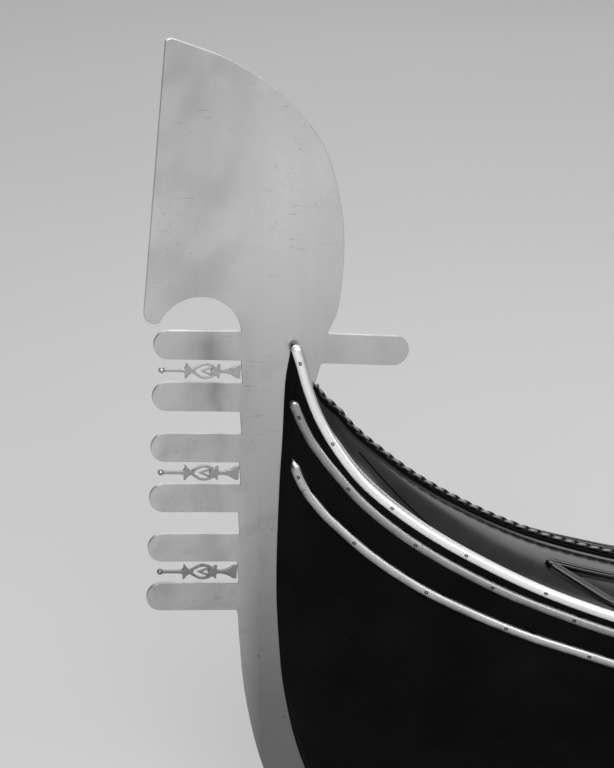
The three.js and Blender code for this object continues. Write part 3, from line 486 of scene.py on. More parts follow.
# Three cast flowers stand in every second gap between the teeth: a ball on a stem, a pointed
# leaf, an open almond with an arrow in it, a hooked leaf, and a flared foot against the strip.
# They are flat castings, filed satin on their faces and left dark in the hollows.
FLOWER_FOOT = (
    # from the foot, half height
    (0, 12.6), (4, 12.5), (7, 11.8), (12, 8.6), (19, 5.2), (27, 3.4), (33, 3.0), (36, 3.8),
    (37.2, 7.4), (36.4, 11.6), (38.6, 12.6), (42, 9.4), (45, 8.9), (48, 8.2), (51, 4.4), (53, 0.6),
)
FLOWER_TIP = (
    (79, 0.6), (83, 3.4), (88, 5.2), (92, 9.0), (95.4, 13.4), (97.2, 13.2), (97.4, 7.6), (99.5, 4.2),
    (103, 2.9), (112, 2.5), (124, 2.4), (134, 2.6), (139, 2.4), (140, 0.6),
)
FLOWER_ARROW = ((72, 0), (52.5, -8.0), (51, -5.0), (65.5, 0), (51, 5.0), (52.5, 8.0))
FLOWER_ALMOND = ((44, 3.4), (50, 9.4), (59, 12.3), (68, 11.4), (76, 7.4), (84, 2.2))
FLOWER_BALL = (139.0, 5.7)
FLOWER_DEPTH = 0.0064
ALMOND_HALF = 2.1
FLOWER_FORWARD = 0.0023
CAST_DARK = (0.07, 0.07, 0.069, 1)
CAST_BRIGHT = (0.42, 0.42, 0.415, 1)


def flower_leaf(half):
    """A flat casting whose outline is a smooth curve through half of it and the same mirrored."""
    line = along_points(half, 70) * MM
    return plate(np.concatenate([line, (line * np.array([1, -1]))[::-1]]), FLOWER_DEPTH, 0.0007)


def almond_strand(side):
    """One curved strand of the almond: rings of a squared-off bar that follows the almond's line,
    (|cos|^6 + |sin|^6)^(-1/6) fuller at its corners than a circle."""
    line = along_points(FLOWER_ALMOND, 26) * MM
    along = unit(np.gradient(line, axis=0))
    across = np.stack([-along[:, 1], along[:, 0]], 1)
    angle = round_angles(16)
    full = (np.abs(np.cos(angle)) ** 6 + np.abs(np.sin(angle)) ** 6) ** (-1 / 6)
    width = ALMOND_HALF * MM * np.cos(angle) * full
    depth = FLOWER_DEPTH / 2 * np.sin(angle) * full
    flat = line[:, None, :] + across[:, None, :] * width[None, :, None]
    out = np.broadcast_to(depth[None, :], flat.shape[:2])
    return np.stack([flat[..., 0], out, side * flat[..., 1]], -1)


def flower_ball():
    """A small ball at the stem's end, as rings round the stem's line."""
    middle, radius = (value * MM for value in FLOWER_BALL)
    tilt = np.linspace(0.02, math.pi - 0.02, 16)[:, None]
    angle = round_angles(20)[None]
    return np.stack([
        middle - radius * np.cos(tilt) + 0 * angle,
        radius * np.sin(tilt) * np.cos(angle),
        radius * np.sin(tilt) * np.sin(angle),
    ], -1)


def cast_look():
    """Cast metal, dark and grainy in its hollows, with faces filed pale and satin."""
    finish = Finish("cast_metal", metallic=1.0)
    grain = finish.cloud(420.0, 4.0, 0.6)
    rubbed = finish.patches(0.24, 0.42, 60.0, 3.0, 0.6)
    # The filed patches are dimmer lower down, so the lower flowers are darker towards the bottom.
    low = finish.ramp(finish.axis(2) * 0.5, (0.39, 1), (0.57, 0))
    tone = finish.mix(rubbed * (1 - low * 0.55), CAST_DARK, CAST_BRIGHT)
    return finish.dress(tone, 0.40 - rubbed * 0.10 + grain * 0.08, finish.bump(grain, 0.0003))


cast = cast_look()
arrow = plate(np.array(FLOWER_ARROW, float) * MM, FLOWER_DEPTH - 0.0006, 0.0005)
flower_parts = [flower_leaf(FLOWER_FOOT), flower_leaf(FLOWER_TIP), arrow, flower_ball()]
flower_parts += [almond_strand(1), almond_strand(-1)]
for number in range(3):
    forward, up = tooth_root(2 * number + 0.5)
    root = np.array([forward + FLOWER_FORWARD, 0, up])
    shells = []
    for rings in flower_parts:
        tilted = rings.copy()
        tilted[..., 0] = rings[..., 0] * math.cos(TOOTH_LEAN) - rings[..., 2] * math.sin(TOOTH_LEAN)
        tilted[..., 2] = rings[..., 0] * math.sin(TOOTH_LEAN) + rings[..., 2] * math.cos(TOOTH_LEAN)
        shells.append(skin(tilted + root + STEM_HEAD))
    name = f"flower_{number + 1}"
    piece(name, shells, cast, [f"bow_iron_flower_{number + 1}"], smooth_below=50)

# The hull is a long narrow shell of thin planks with both ends turned up, fuller to port than to
# starboard. It is painted gloss black, which shows brush waves, dust and fine scratches, and its
# middle sinks below the waterline.
STEM_X = 5.180
STERN_X = -5.290
STERN_HEAD = 1.250
LENGTH = STEM_X - STERN_X
POST_HALF = 0.014
POST_DEPTH = 0.060
STEM_TOP_CUT = 0.009
HEAD_DEPTH = 0.012
HALF_BEAM = 0.710
HALF_BOTTOM = 0.470
LEAN_TO_PORT = 0.120
BILGE_ROUND = 0.024
BOARD = 0.020
STRAKE = 0.010
GAP = 0.0003
DECK = 0.012
DECK_RISE = 0.004
BOARD_DROP = DECK - DECK_RISE + 2 * GAP
STRAKE_BELOW_MOULDING = 0.015
TOE_LIFT = 0.016
STERN_AFT = (
    # height, aft of the stern head
    (60, -1150), (120, -880), (220, -600), (360, -370), (560, -180), (800, -60), (1050, -5), (1250, 0),
)
RIM_FROM_BOW = (
    # aft of the stem head, below it
    (0, 8), (11, -29), (22, -74), (42, -131), (78, -197), (118, -250), (199, -320), (289, -378),
    (427, -448), (548, -494), (800, -570), (1200, -655), (1800, -735), (2600, -785), (3600, -810),
    (5200, -818),
)
RIM_FROM_STERN = (
    # forward of the stern head, below it
    (0, 0), (60, -120), (150, -220), (350, -350), (700, -500), (1200, -635), (1900, -750),
    (2900, -825), (4000, -852), (5200, -858),
)
BOTTOM_FROM_BOW = (
    # aft of the stem's foot, height
    (0, 5), (250, -35), (700, -82), (1500, -122), (2700, -148), (3800, -156), (4500, -156),
)
BOTTOM_FROM_STERN = (
    # forward of the stern's foot, height
    (0, 60), (300, 10), (800, -50), (1700, -110), (2800, -146), (3400, -156), (4500, -156),
)
MIDDLE_DROP = (
    # from the post's head, the middle moulding's drop below the rim
    (0, 95), (4, 92), (12, 86), (24, 72), (57, 48), (98, 37), (135, 35), (213, 34.5), (347, 33),
    (491, 29), (5000, 27),
)
LOWER_DROP = (
    # from the post's head, the lower moulding's drop below the rim
    (0, 190), (9, 178), (17, 170), (24, 165), (57, 140), (118, 115), (244, 105.5), (385, 95),
    (532, 86.5), (5000, 84),
)
SCRATCH_GREY = grey(0.22)
SIDES = (("port", 1), ("starboard", -1))
stern_aft = eased(STERN_AFT)
rim_from_bow = eased(RIM_FROM_BOW)
rim_from_stern = eased(RIM_FROM_STERN)
bottom_from_bow = eased(BOTTOM_FROM_BOW)
bottom_from_stern = eased(BOTTOM_FROM_STERN)
middle_drop = eased(MIDDLE_DROP)
lower_drop = eased(LOWER_DROP)


def spaced(start, end, count=300):
    """count + 1 shares of the length between two distances from the stem head, closer together
    towards both ends: (1 - cos) / 2."""
    along = (1 - np.cos(np.linspace(0, math.pi, count + 1))) / 2
    return (start + (end - start) * along) / LENGTH


def posts_at(v):
    """The x of the stem's and the stern's lines at a share v of their height."""
    return STEM_X + stem_forward(0.005 + v * 1.205), STERN_X - stern_aft(0.060 + v * 1.190)


def fullness(t):
    """0 at both posts and 1 amidships, for a share t of the length."""
    return np.maximum(0, 4 * t * (1 - t))


def from_post(t):
    """The distance from the nearer post."""
    return LENGTH * np.minimum(t, 1 - t)


def rim_height(x):
    bow_part = STEM_HEAD[2] + rim_from_bow(STEM_X - x)
    return np.where(x > 0, bow_part, STERN_HEAD + rim_from_stern(x - STERN_X))


def rim_at(t):
    """The rim's height at a share t of its own length."""
    bow, stern = posts_at(1.0)
    return rim_height(bow + (stern - bow) * t)


def bottom_height(t):
    bow, stern = posts_at(0.0)
    x = bow + (stern - bow) * t
    return np.where(x > 0, bottom_from_bow(bow - x), bottom_from_stern(x - stern))


def hull_point(side, t, v, inward=0.0):
    """A point of the hull's outer face. t runs from stem to stern and v from the bottom's edge to
    the rim: half width = narrow + (wide - narrow) v + a round of 4 v (1 - v), and both widths grow
    with 4 t (1 - t). Near the posts the lower rows rise a little."""
    t, v = np.broadcast_arrays(np.asarray(t, float), np.asarray(v, float))
    bow, stern = posts_at(v)
    low = bottom_height(t)
    full = fullness(t)
    wide = POST_HALF + (HALF_BEAM - POST_HALF) * full
    narrow = POST_HALF + (HALF_BOTTOM - POST_HALF) * full ** 1.1
    half = narrow + (wide - narrow) * v + BILGE_ROUND * 4 * v * (1 - v) * full
    near = np.minimum(1, from_post(t) / POST_DEPTH) * (1 - smooth(from_post(t), POST_DEPTH, 0.9))
    toe = TOE_LIFT * near * smooth(v, 0, 0.04) * (1 - smooth(v, 0.15, 0.6))
    y = side * (half - inward) + LEAN_TO_PORT * full
    return np.stack([bow + (stern - bow) * t, y, low + (rim_at(t) - low) * v + toe], -1)


def level_below_rim(t, drop):
    """The share v of the height that lies a drop below the rim."""
    return 1 - drop / (rim_height(STEM_X - LENGTH * t) - bottom_height(t))


def strake_drop(t):
    """How far below the rim the raised strake ends."""
    return lower_drop(from_post(t)) + STRAKE_BELOW_MOULDING


def strake_face(side, t, drop, outward=0.0):
    """A point of the raised strake's outer face at a drop below the rim."""
    low_drop = strake_drop(t)
    out = GAP + STRAKE * np.minimum(1, 0.3 + from_post(t) / 0.2) + outward
    top = hull_point(side, t, level_below_rim(t, BOARD_DROP), -out)
    low = hull_point(side, t, level_below_rim(t, low_drop), -out)
    share = (np.asarray(drop) - BOARD_DROP) / (low_drop - BOARD_DROP)
    return top + (low - top) * np.asarray(share)[..., None]


def gloss_black(name, ior, dust_tone, gloss=0.10, mark_tone=grey(0.02)):
    """Gloss black paint: brush waves, dust in soft patches, short scratches along the planks."""
    finish = Finish(name, ior=ior)
    waves = finish.cloud(16.0, 2.0, 0.5)
    peel = finish.cloud(90.0, 2.0, 0.5)
    dust = finish.patches(0.42, 0.72, 3.5, 6.0, 0.62)
    grit = finish.patches(0.62, 0.70, 260.0, 3.0, 0.6)
    slanted = finish.stretched((1, 1, 14), (0, 0.3, 0))
    marks = finish.patches(0.70, 0.76, 60.0, 2.0, 0.6, slanted) * finish.patches(0.5, 0.62, 2.2)
    shade = dust * 0.55 + grit * dust * 0.35 + marks * 0.8
    tone = finish.mix(shade, (0.0010, 0.0010, 0.0011, 1), dust_tone)
    level = finish.stretched((26, 26, 240), (0, 0.12, 0))
    scratches = finish.patches(0.70, 0.73, 1.0, 3.0, 0.7, level) * finish.patches(0.60, 0.66, 4.5)
    tone = finish.mix(scratches, tone, mark_tone)
    height = waves * 0.3 + peel * 0.03 - marks * 0.05
    return finish.dress(tone, gloss + dust * 0.12 + marks * 0.2, finish.bump(height, 0.0010))


side_paint = gloss_black("side_paint", 1.13, (0.006, 0.006, 0.0065, 1), 0.10, SCRATCH_GREY)
deck_paint = gloss_black("deck_paint", 1.5, (0.022, 0.022, 0.023, 1), 0.20)
hull_t = spaced(POST_DEPTH, LENGTH - POST_DEPTH)[:, None]
for side_name, side in SIDES:
    rows = np.linspace(0, 1, 27)[None, :] ** 1.3
    v = rows * level_below_rim(hull_t, BOARD_DROP)
    rings = np.concatenate([
        hull_point(side, hull_t, v),
        hull_point(side, hull_t, v[:, ::-1], BOARD),
    ], 1)
    name = f"planking_{side_name}"
    piece(name, [skin(rings)], side_paint, [f"side_{name}"])
bottom_t = spaced(HEAD_DEPTH, LENGTH - HEAD_DEPTH, 120)
corners = []
for side, drop in ((1, GAP), (1, GAP + BOARD), (-1, GAP + BOARD), (-1, GAP)):
    corners.append(hull_point(side, bottom_t, 0.0) - np.array([0, 0, drop]))
piece("bottom", [skin(np.stack(corners, 1))], side_paint, ["bottom_planking"])

# The water's surface is the studio floor, with a hole that follows the hull's line at z = 0.
FLOOR_REACH = 60.0
HOLE_INSET = 0.006
LEAST_DEPTH = 0.004


def interpolated(at, known, rows):
    """The rows of numbers that belong to known places, worked out at other places."""
    return np.stack([np.interp(at, known, column) for column in np.transpose(rows)], -1)


def waterline(side, t):
    """The hull's outer point at z = 0 at each share t of the length."""
    points = []
    for share in t:
        column = hull_point(side, share, np.linspace(0, 1, 400), HOLE_INSET)
        points.append([*interpolated(0.0, column[:, 2], column[:, :2]), 0.0])
    return np.array(points)


wet = spaced(0.0, LENGTH, 400)
wet = wet[bottom_height(wet) < -LEAST_DEPTH]
shore = np.concatenate([waterline(1, wet), waterline(-1, wet[::-1])])
angle = np.arctan2(shore[:, 1] - 0.1, shore[:, 0] * 0.2)
far = np.stack([FLOOR_REACH * np.cos(angle), FLOOR_REACH * np.sin(angle), 0 * angle], 1)
count = len(shore)
floor_mesh = bpy.data.meshes.new("floor")
floor_faces = [(k, (k + 1) % count, count + (k + 1) % count, count + k) for k in range(count)]
floor_mesh.from_pydata(np.concatenate([shore, far]).tolist(), [], floor_faces)
floor = bpy.data.objects.new("floor", floor_mesh)
bpy.context.scene.collection.objects.link(floor)
pale = Finish("pale_floor")
tint = pale.mix(pale.cloud(0.35, 3.0, 0.5), grey(0.45), (0.49, 0.49, 0.485, 1))
floor_mesh.materials.append(pale.dress(tint, 0.85))

# The end posts close the hull. The stem's front is rounded and stands a little proud of its
# cheeks, and its head shows above the foredeck behind the iron.
POST_CORNERS = np.array([POST_DEPTH, 0.045, 0.030, 0.020, HEAD_DEPTH])
NOSE_TURN = 1.25
NOSE_PROUD = 0.010


def post_rings(at_bow):
    """Rings up a post: its cheeks follow the hull's ends and a rounded nose joins them."""
    v = np.concatenate([np.linspace(0, 0.2, 30), np.linspace(0.2, 1, 60)[1:]])
    depths = POST_CORNERS / LENGTH
    shares, end, sign = (depths, 0.0, 1) if at_bow else (1 - depths, 1.0, -1)
    turn = np.linspace(-NOSE_TURN, NOSE_TURN, 9)
    across = POST_HALF * 0.96 * np.sin(turn) / math.sin(NOSE_TURN)
    rings = []
    for level in v:
        nose = hull_point(1, end, level)
        if at_bow:
            nose[2] -= STEM_TOP_CUT * smooth(level, 0.93, 1.0)
        forward = nose[0] - sign * NOSE_PROUD * (1 - np.cos(turn))
        rounded = np.stack([forward, across, np.full(9, nose[2])], 1)
        cheeks = [hull_point(side, shares, level) for side in (-1, 1)]
        rings.append(np.concatenate([cheeks[0], rounded, cheeks[1][::-1]]))
    return np.array(rings)


for name, at_bow, node in (("stem", True, "stem_post"), ("sternpost", False, "stern_post")):
    piece(name, [skin(post_rings(at_bow))], side_paint, [node], smooth_below=45)

# A raised strake runs under the rim on each side and carries the mouldings.
for side_name, side in SIDES:
    t = spaced(HEAD_DEPTH, LENGTH - HEAD_DEPTH)[:, None]
    share = np.linspace(0, 1, 9)[None, :]
    drop = BOARD_DROP + (strake_drop(t) - BOARD_DROP) * share
    outer = strake_face(side, t, drop)
    outer[:, -1, 2] += 0.002
    low = strake_face(side, t[:, 0], strake_drop(t[:, 0]), -0.002)[:, None]
    inner = hull_point(side, t, level_below_rim(t, drop[:, ::-1]), -GAP)
    rings = np.concatenate([outer, low, inner], 1)
    piece(f"strake_{side_name}", [skin(rings)], side_paint, [f"top_strake_{side_name}"])

# Three half-round mouldings run the whole length on each side. The upper one is polished and
# begins with a round end, the others are worn, begin with a point and are stained dark at the tip.
MOULDING_WIDTH = 0.018
MOULDING_HEIGHT = 0.008
MOULDING_SINK = 0.0006
MOULDING_POINTS = 11
TIP_STAIN = (0.004, 0.022)
MOULDINGS = (
    # name, first point from the stem head, length of the taper, how pointed, brightness, worn
    ("upper", 0.004, 0.009, 0.5, 0.94, False),
    ("middle", 0.007, 0.010, 0.5, 0.34, True),
    ("lower", 0.015, 0.014, 0.6, 0.52, True),
)
SCREW_FIRST = 0.033
SCREW_STEP = 0.1585
SCREW_TURN = 2.399
SCREW_SLOT = 0.0004
SCREW_KINDS = (
    # name, radius, height, slotted, rings
    ("screws", 0.0025, 0.0010, True, 5),
    # a thin black disc round each screw head, painted shade of its countersunk recess
    ("recesses", 0.0037, 0.0003, False, 3),
)


def lengths_along(line):
    """The distance along a line of points, at each of them."""
    return np.concatenate([[0], np.cumsum(np.linalg.norm(np.diff(line, axis=0), axis=1))])


def moulding_path(side, drop, start, count=420):
    """Middle points, outward and across directions, and arc length along a moulding's seat."""
    t = spaced(start, LENGTH - start, count)
    centre = strake_face(side, t, drop(from_post(t)))
    along = np.gradient(centre, axis=0)
    outward = np.cross(along, strake_face(side, t, 0.0) - strake_face(side, t, 0.060))
    outward = unit(outward * np.sign(outward[:, 1:2] * side))
    return centre, outward, unit(np.cross(outward, along)), lengths_along(centre)


def half_round(path, taper, sharpness):
    """Rings of a half-round strip: across = width cos a, outward = height sin a, both growing from
    the end as (distance / taper) to the power sharpness, round where that is a half."""
    centre, outward, across, length = path
    near = np.clip(np.minimum(length, length[-1] - length) / taper, 0.004, 1)
    grown = (1 - (1 - near) ** 2) ** 0.5 if sharpness == 0.5 else near ** sharpness
    grown = grown[:, None, None]
    angle = np.linspace(0, math.pi, MOULDING_POINTS)[None, :, None]
    sideways = across[:, None, :] * (MOULDING_WIDTH / 2) * np.cos(angle) * grown
    out = MOULDING_HEIGHT * np.sin(angle) ** 0.7 * grown - MOULDING_SINK
    return centre[:, None, :] + sideways + outward[:, None, :] * out


def polished_strip(name, bright, worn):
    """Half-round metal: brushed along its length, with dull patches and dark specks. Where it is
    worn, paint has run over its edges, its lower half is darkened by tarnish and by painted shade,
    and its tip is stained. The attribute across is 1 at the upper edge and -1 at the lower one, and
    tip is 1 at an end."""
    finish = Finish(name, metallic=1.0)
    patches = finish.patches(0.38, 0.68, 9.0, 5.0, 0.65)
    fine = finish.cloud(240.0, 3.0, 0.6)
    specks = finish.patches(0.66, 0.72, 70.0, 3.0, 0.6)
    tone = finish.mix(patches, (bright, bright, bright * 0.99, 1), grey(bright * 0.78))
    tone = finish.mix(specks * (0.60 if worn else 0.15), tone, (0.05, 0.048, 0.045, 1))
    if worn:
        across = finish.attribute("across")
        tip = finish.attribute("tip")
        # Painted shade darkens the lower half, mottled with tarnish.
        lower = finish.ramp(across * 0.5 + 0.5, (0.16, 1), (0.60, 0))
        tarnish_and_shade = finish.ramp(finish.cloud(24.0, 4.0, 0.6), (0.35, 0.35), (0.65, 1))
        ragged = across + finish.cloud(48.0, 2.0, 0.6) * 0.7
        edge = finish.ramp(ragged * 0.5, (0.650, 0), (0.680, 1))
        mottled = finish.ramp(finish.cloud(120.0, 4.0, 0.7) + tip * 0.12, (0.60, 0), (0.66, 1))
        tone = finish.mix(lower * tarnish_and_shade * 0.85, tone, (0.06, 0.06, 0.059, 1))
        tone = finish.mix(edge * 0.9, tone, grey(0.01))
        tone = finish.mix(mottled * (tip * 0.8 + 0.15), tone, grey(0.015))
    roughness = 0.30 + patches * 0.12 + fine * 0.06
    return finish.dress(tone, roughness, finish.bump(fine * 0.25 + patches * 0.5, 0.00012))


def screw_heads(path, reach, height, slotted, rings):
    """Shallow round discs of a radius, one every SCREW_STEP along a moulding's crest: height over
    the crest = height (1 - r^3), less a slot across the middle where slotted."""
    length = path[3]
    radius = np.linspace(0, 1, rings)[:, None]
    angle = round_angles(12)[None]
    flat_x = reach * radius * np.cos(angle)
    flat_y = reach * radius * np.sin(angle)
    dome = height * (1 - radius ** 3) - height * (radius > 0.93)
    crest = MOULDING_HEIGHT - 0.0002 - MOULDING_HEIGHT * 0.7 * (flat_y / (MOULDING_WIDTH / 2)) ** 2
    places = np.arange(SCREW_FIRST, length[-1] - SCREW_FIRST, SCREW_STEP)
    shells = []
    for number, place in enumerate(places):
        centre, outward, across = (interpolated(place, length, rows) for rows in path[:3])
        turn = number * SCREW_TURN % math.pi
        slot = np.abs(flat_x * math.cos(turn) + flat_y * math.sin(turn)) < SCREW_SLOT
        rise = crest + dome - 0.0008 * slot * slotted
        grid = centre + np.cross(across, outward) * flat_x[..., None] + across * flat_y[..., None]
        grid = grid + outward * rise[..., None]
        grid[0] = grid[0].mean(0) + outward * 1e-6
        shells.append(skin(np.concatenate([grid, grid[-1:] - outward * 0.003])))
    return shells


def carry(made, attribute, values):
    """Gives each point of a piece a number that its material reads."""
    made.data.attributes.new(attribute, "FLOAT", "POINT").data.foreach_set("value", values)


# Painted shade: a black disc round each screw head stands for the shade in its recess.
recess_shade_paint = gloss_black("screw_recess_shade", 1.3, grey(0.02))
drops = {"upper": lambda along: 0.0 * along, "middle": middle_drop, "lower": lower_drop}
for name, start, taper, sharpness, bright, worn in MOULDINGS:
    look = polished_strip(f"moulding_{name}", bright, worn)
    looks = {"screws": polished_strip(f"screws_{name}", bright * 0.40, False), "recesses": recess_shade_paint}
    for side_name, side in SIDES:
        path = moulding_path(side, drops[name], start)
        shells = [skin(half_round(path, taper, sharpness))]
        solid = f"moulding_{name}_{side_name}"
        strip = piece(f"{name}_strip_{side_name}", shells, look, [solid], smooth_below=60)
        round_share = np.cos(np.linspace(0, math.pi, MOULDING_POINTS))
        from_end = np.minimum(path[3], path[3][-1] - path[3])
        carry(strip, "across", np.tile(round_share, len(from_end)))
        carry(strip, "tip", np.repeat(1 - smooth(from_end, *TIP_STAIN), MOULDING_POINTS))
        for kind, *shape in SCREW_KINDS:
            shells = screw_heads(path, *shape)
            piece(f"{name}_{kind}_{side_name}", shells, looks[kind], smooth_below=50)

# The decks are crowned boards, swept up in a small cove against the ridge that runs along their
# middle. They carry the deepest gloss of the boat.
CROWN = (
    # from the post's head, rise of the deck's middle above the rim
    (50, 33), (90, 57), (150, 59.5), (208, 55.5), (290, 50), (371, 46), (460, 43.5), (600, 43),
    (2430, 55),
)
crown = eased(CROWN)
FOREDECK_END = 2.6712
AFTERDECK_END = -2.3601
RIDGE_HALF = 0.010
COVE = 0.004
COVE_END = 0.019
FROM_RIDGE = np.array([0.5, 9.6, 10.2, 11, 12, 13.5, 15, 17, 19]) * MM
UNDER_DECK = np.array([0, 0, DECK + 0.004])


def deck_top(side, t, share):
    """A point of a deck's upper face: share 0 at the middle, 1 at the rim, the height falling from
    the crown with the square of the share."""
    edge = strake_face(side, t, -DECK_RISE)
    rise = crown(from_post(t)) * (1 - share * share)
    y = side * GAP + (edge[..., 1] - side * GAP) * share
    return np.stack([edge[..., 0] + 0 * y, y, edge[..., 2] + rise], -1)


def deck_rings(side, t):
    """Rings across half a deck: a quarter-round cove up to the ridge, the crowned top, the rounded
    edge, and the underside."""
    half = np.abs(strake_face(side, t, -DECK_RISE)[:, 1])[:, None]
    near = FROM_RIDGE[None] / half
    far = near[:, -1:] + (1 - near[:, -1:]) * np.linspace(0, 1, 22)[None, 1:]
    top = deck_top(side, t[:, None], np.concatenate([near, far], 1))
    reach = np.minimum(np.clip((COVE_END - FROM_RIDGE) / COVE, 0, 1), 0.995)
    top[:, :len(FROM_RIDGE), 2] += COVE * (1 - np.sqrt(1 - reach ** 2))
    top[:, -1, 2] -= 0.0015
    top[:, -2, 2] = top[:, -3, 2] * 0.15 + top[:, -1, 2] * 0.85 + 0.0016
    under = top[:, :-1] - UNDER_DECK
    corner = strake_face(side, t, DECK - DECK_RISE)[:, None]
    return np.concatenate([top, corner, under[:, ::-1]], 1)


DECK_SPANS = (
    # name, first and last place from the stem head
    ("foredeck", 0.040, STEM_X - FOREDECK_END),
    ("afterdeck", STEM_X - AFTERDECK_END, LENGTH - 0.058),
)
for deck, first, last in DECK_SPANS:
    for side_name, side in SIDES:
        rings = deck_rings(side, spaced(first, last, 220))
        name = f"{deck}_{side_name}"
        piece(f"{deck}_top_{side_name}", [skin(rings)], deck_paint, [name])

# A black ridge board runs down the middle of each deck. On the foredeck it is carved along its
# top as a twisted rope of three strands, with a highlight painted pale along each strand's top.
RIDGE_HEIGHT = 0.011
ROPE_PITCH = 0.0255
ROPE_STRANDS = 3
STRAND_RADIUS = 0.0040
STRAND_TURN = 0.0036
ROPE_HEIGHT = 0.0105
ROPE_START = 0.044
ROPE_AROUND = 20
ROPE_STEP = 0.0024


def ridge_line(first, last, count):
    """Points along a deck's middle, evenly apart."""
    line = deck_top(1, spaced(first, last, 1500), 0.0)
    line[:, 1] = 0.0
    length = lengths_along(line)
    at = np.linspace(0, length[-1], count)
    return interpolated(at, length, line), at


def ridge_rings(first, last):
    """Rings along a ridge board: upright sides and a rounded top."""
    line, _ = ridge_line(first, last, 240)
    turn = np.linspace(0, math.pi, 9)
    y = np.concatenate([[RIDGE_HALF], RIDGE_HALF * np.cos(turn), [-RIDGE_HALF]])
    up = np.concatenate([[-0.002], RIDGE_HEIGHT * (0.6 + 0.4 * np.sin(turn)), [-0.002]])
    rings = np.repeat(line[:, None], len(y), 1)
    rings[..., 1] = y
    rings[..., 2] += up
    return rings


def rope_rings(first, last):
    """Rings of a twisted rope: the outline is the union of circles of STRAND_RADIUS whose middles
    turn about the rope's own, STRAND_TURN away, once in ROPE_STRANDS lobes. Gives too the share of
    painted highlight at each point, 1 beside the top of each strand."""
    line, at = ridge_line(first, last, int((last - first) * 1.35 / ROPE_STEP))
    line[:, 2] += ROPE_HEIGHT
    along = unit(np.gradient(line, axis=0))
    upward = np.stack([-along[:, 2], 0 * along[:, 0], along[:, 0]], 1)
    upward *= np.sign(upward[:, 2:3])
    angle = round_angles(ROPE_AROUND)[None]
    radius = np.full((len(line), ROPE_AROUND), 0.001)
    for strand in range(ROPE_STRANDS):
        turns = at[:, None] / (ROPE_PITCH * ROPE_STRANDS) + strand / ROPE_STRANDS
        apart = angle - 2 * math.pi * turns
        inside = STRAND_RADIUS ** 2 - (STRAND_TURN * np.sin(apart)) ** 2
        reach = STRAND_TURN * np.cos(apart) + np.sqrt(np.maximum(inside, 0))
        radius = np.maximum(radius, reach)
    rings = line[:, None, :] + upward[:, None, :] * (radius * np.sin(angle))[..., None]
    rings[..., 1] += radius * np.cos(angle)
    # Painted highlight: only on the upper side of each strand, where the light falls on it.
    beside_top = smooth(np.sin(angle), 0.45, 0.68) * (1 - smooth(np.sin(angle), 0.80, 0.95))
    return rings, smooth(radius, 0.0058, 0.0072) * beside_top


def rope_look():
    """Black paint, with a highlight painted as a pale line along the crest of each strand, on its
    upper side, where the attribute crest is 1."""
    finish = Finish("rope_paint", ior=1.3)
    wear = finish.cloud(60.0, 5.0, 0.65)
    rubbed = finish.attribute("crest") * (0.4 + wear * 0.6)
    tone = finish.mix(rubbed, grey(0.002), (0.36, 0.36, 0.355, 1))
    return finish.dress(tone, 0.08 + wear * 0.06, finish.bump(wear, 0.0001))


rope_paint = rope_look()
for deck, first, last in DECK_SPANS:
    shells = [skin(ridge_rings(first, last))]
    piece(f"{deck}_ridge_board", shells, side_paint, [f"{deck}_ridge"], smooth_below=40)
# The rope's pale crest line is a painted highlight.
rope, crest_highlights = rope_rings(ROPE_START, STEM_X - FOREDECK_END)
twisted = piece("ridge_rope", [skin(rope)], rope_paint, smooth_below=60)
carry(twisted, "crest", crest_highlights.ravel())

# A flat bright bead lies along each deck's edge, just inside the upper moulding.
BEAD_WIDTH = 0.0045
BEAD_HEIGHT = 0.0024
BEAD_IN = 0.006
BEAD_SINK = 0.0008
UPRIGHT = np.array([0.0, 0.0, 1.0])


def bead(line, normal, width, height, closed=False, squarer=1.0):
    """The shell of a bead along points on a surface that faces along a normal: half round, or
    with its cos and sin raised to the power squarer for a flatter top and steeper sides."""
    along = np.roll(line, -1, 0) - np.roll(line, 1, 0) if closed else np.gradient(line, axis=0)
    along = unit(along)
    across = unit(np.cross(normal, along))
    upward = np.cross(along, across)
    angle = np.linspace(0, math.pi, 9)[None, :, None]
    cosine = np.sign(np.cos(angle)) * np.abs(np.cos(angle)) ** squarer
    rise = np.maximum(np.sin(angle), 0) ** squarer * height - BEAD_SINK
    rings = line[:, None] + across[:, None] * cosine * width / 2 + upward[:, None] * rise
    return skin(rings, closed)


edge_look = polished_strip("deck_edge", 0.5, False)
for deck, first, last in DECK_SPANS:
    shells = []
    for side_name, side in SIDES:
        t = spaced(max(first, 0.03), min(last, LENGTH - 0.03), 260)
        line = deck_top(side, t, 1 - BEAD_IN / np.abs(strake_face(side, t, -DECK_RISE)[:, 1]))
        shells.append(bead(line, UPRIGHT, BEAD_WIDTH, BEAD_HEIGHT))
    piece(f"{deck}_edge_bead", shells, edge_look, smooth_below=60)

# A raised frame stands on each half of the foredeck: it begins in a point, one arm runs beside
# the ridge and the other goes out to the rim and follows it aft.
FRAME_TIP = 0.452
FRAME_ELBOW = 0.556
FRAME_END = 2.330
FRAME_FROM_RIDGE = 0.086
FRAME_FROM_RIM = 0.025
FRAME_WIDTH = 0.015
FRAME_HEIGHT = 0.010


def rim_y(side, along):
    """How far the rim is from the middle, at distances from the stem head."""
    return np.abs(strake_face(side, np.asarray(along) / LENGTH, -DECK_RISE)[..., 1])


def divided(corners, step, closed, least=2):
    """Points about a step apart along the straight lines between corners."""
    corners = np.asarray(corners, float)
    nexts = np.roll(corners, -1, 0) if closed else corners[1:]
    dense = []
    for start, end in zip(corners, nexts):
        count = max(least, int(np.linalg.norm(end - start) / step))
        dense.append(start + (end - start) * np.linspace(0, 1, count, endpoint=False)[:, None])
    return np.concatenate(dense if closed else dense + [corners[-1:]])


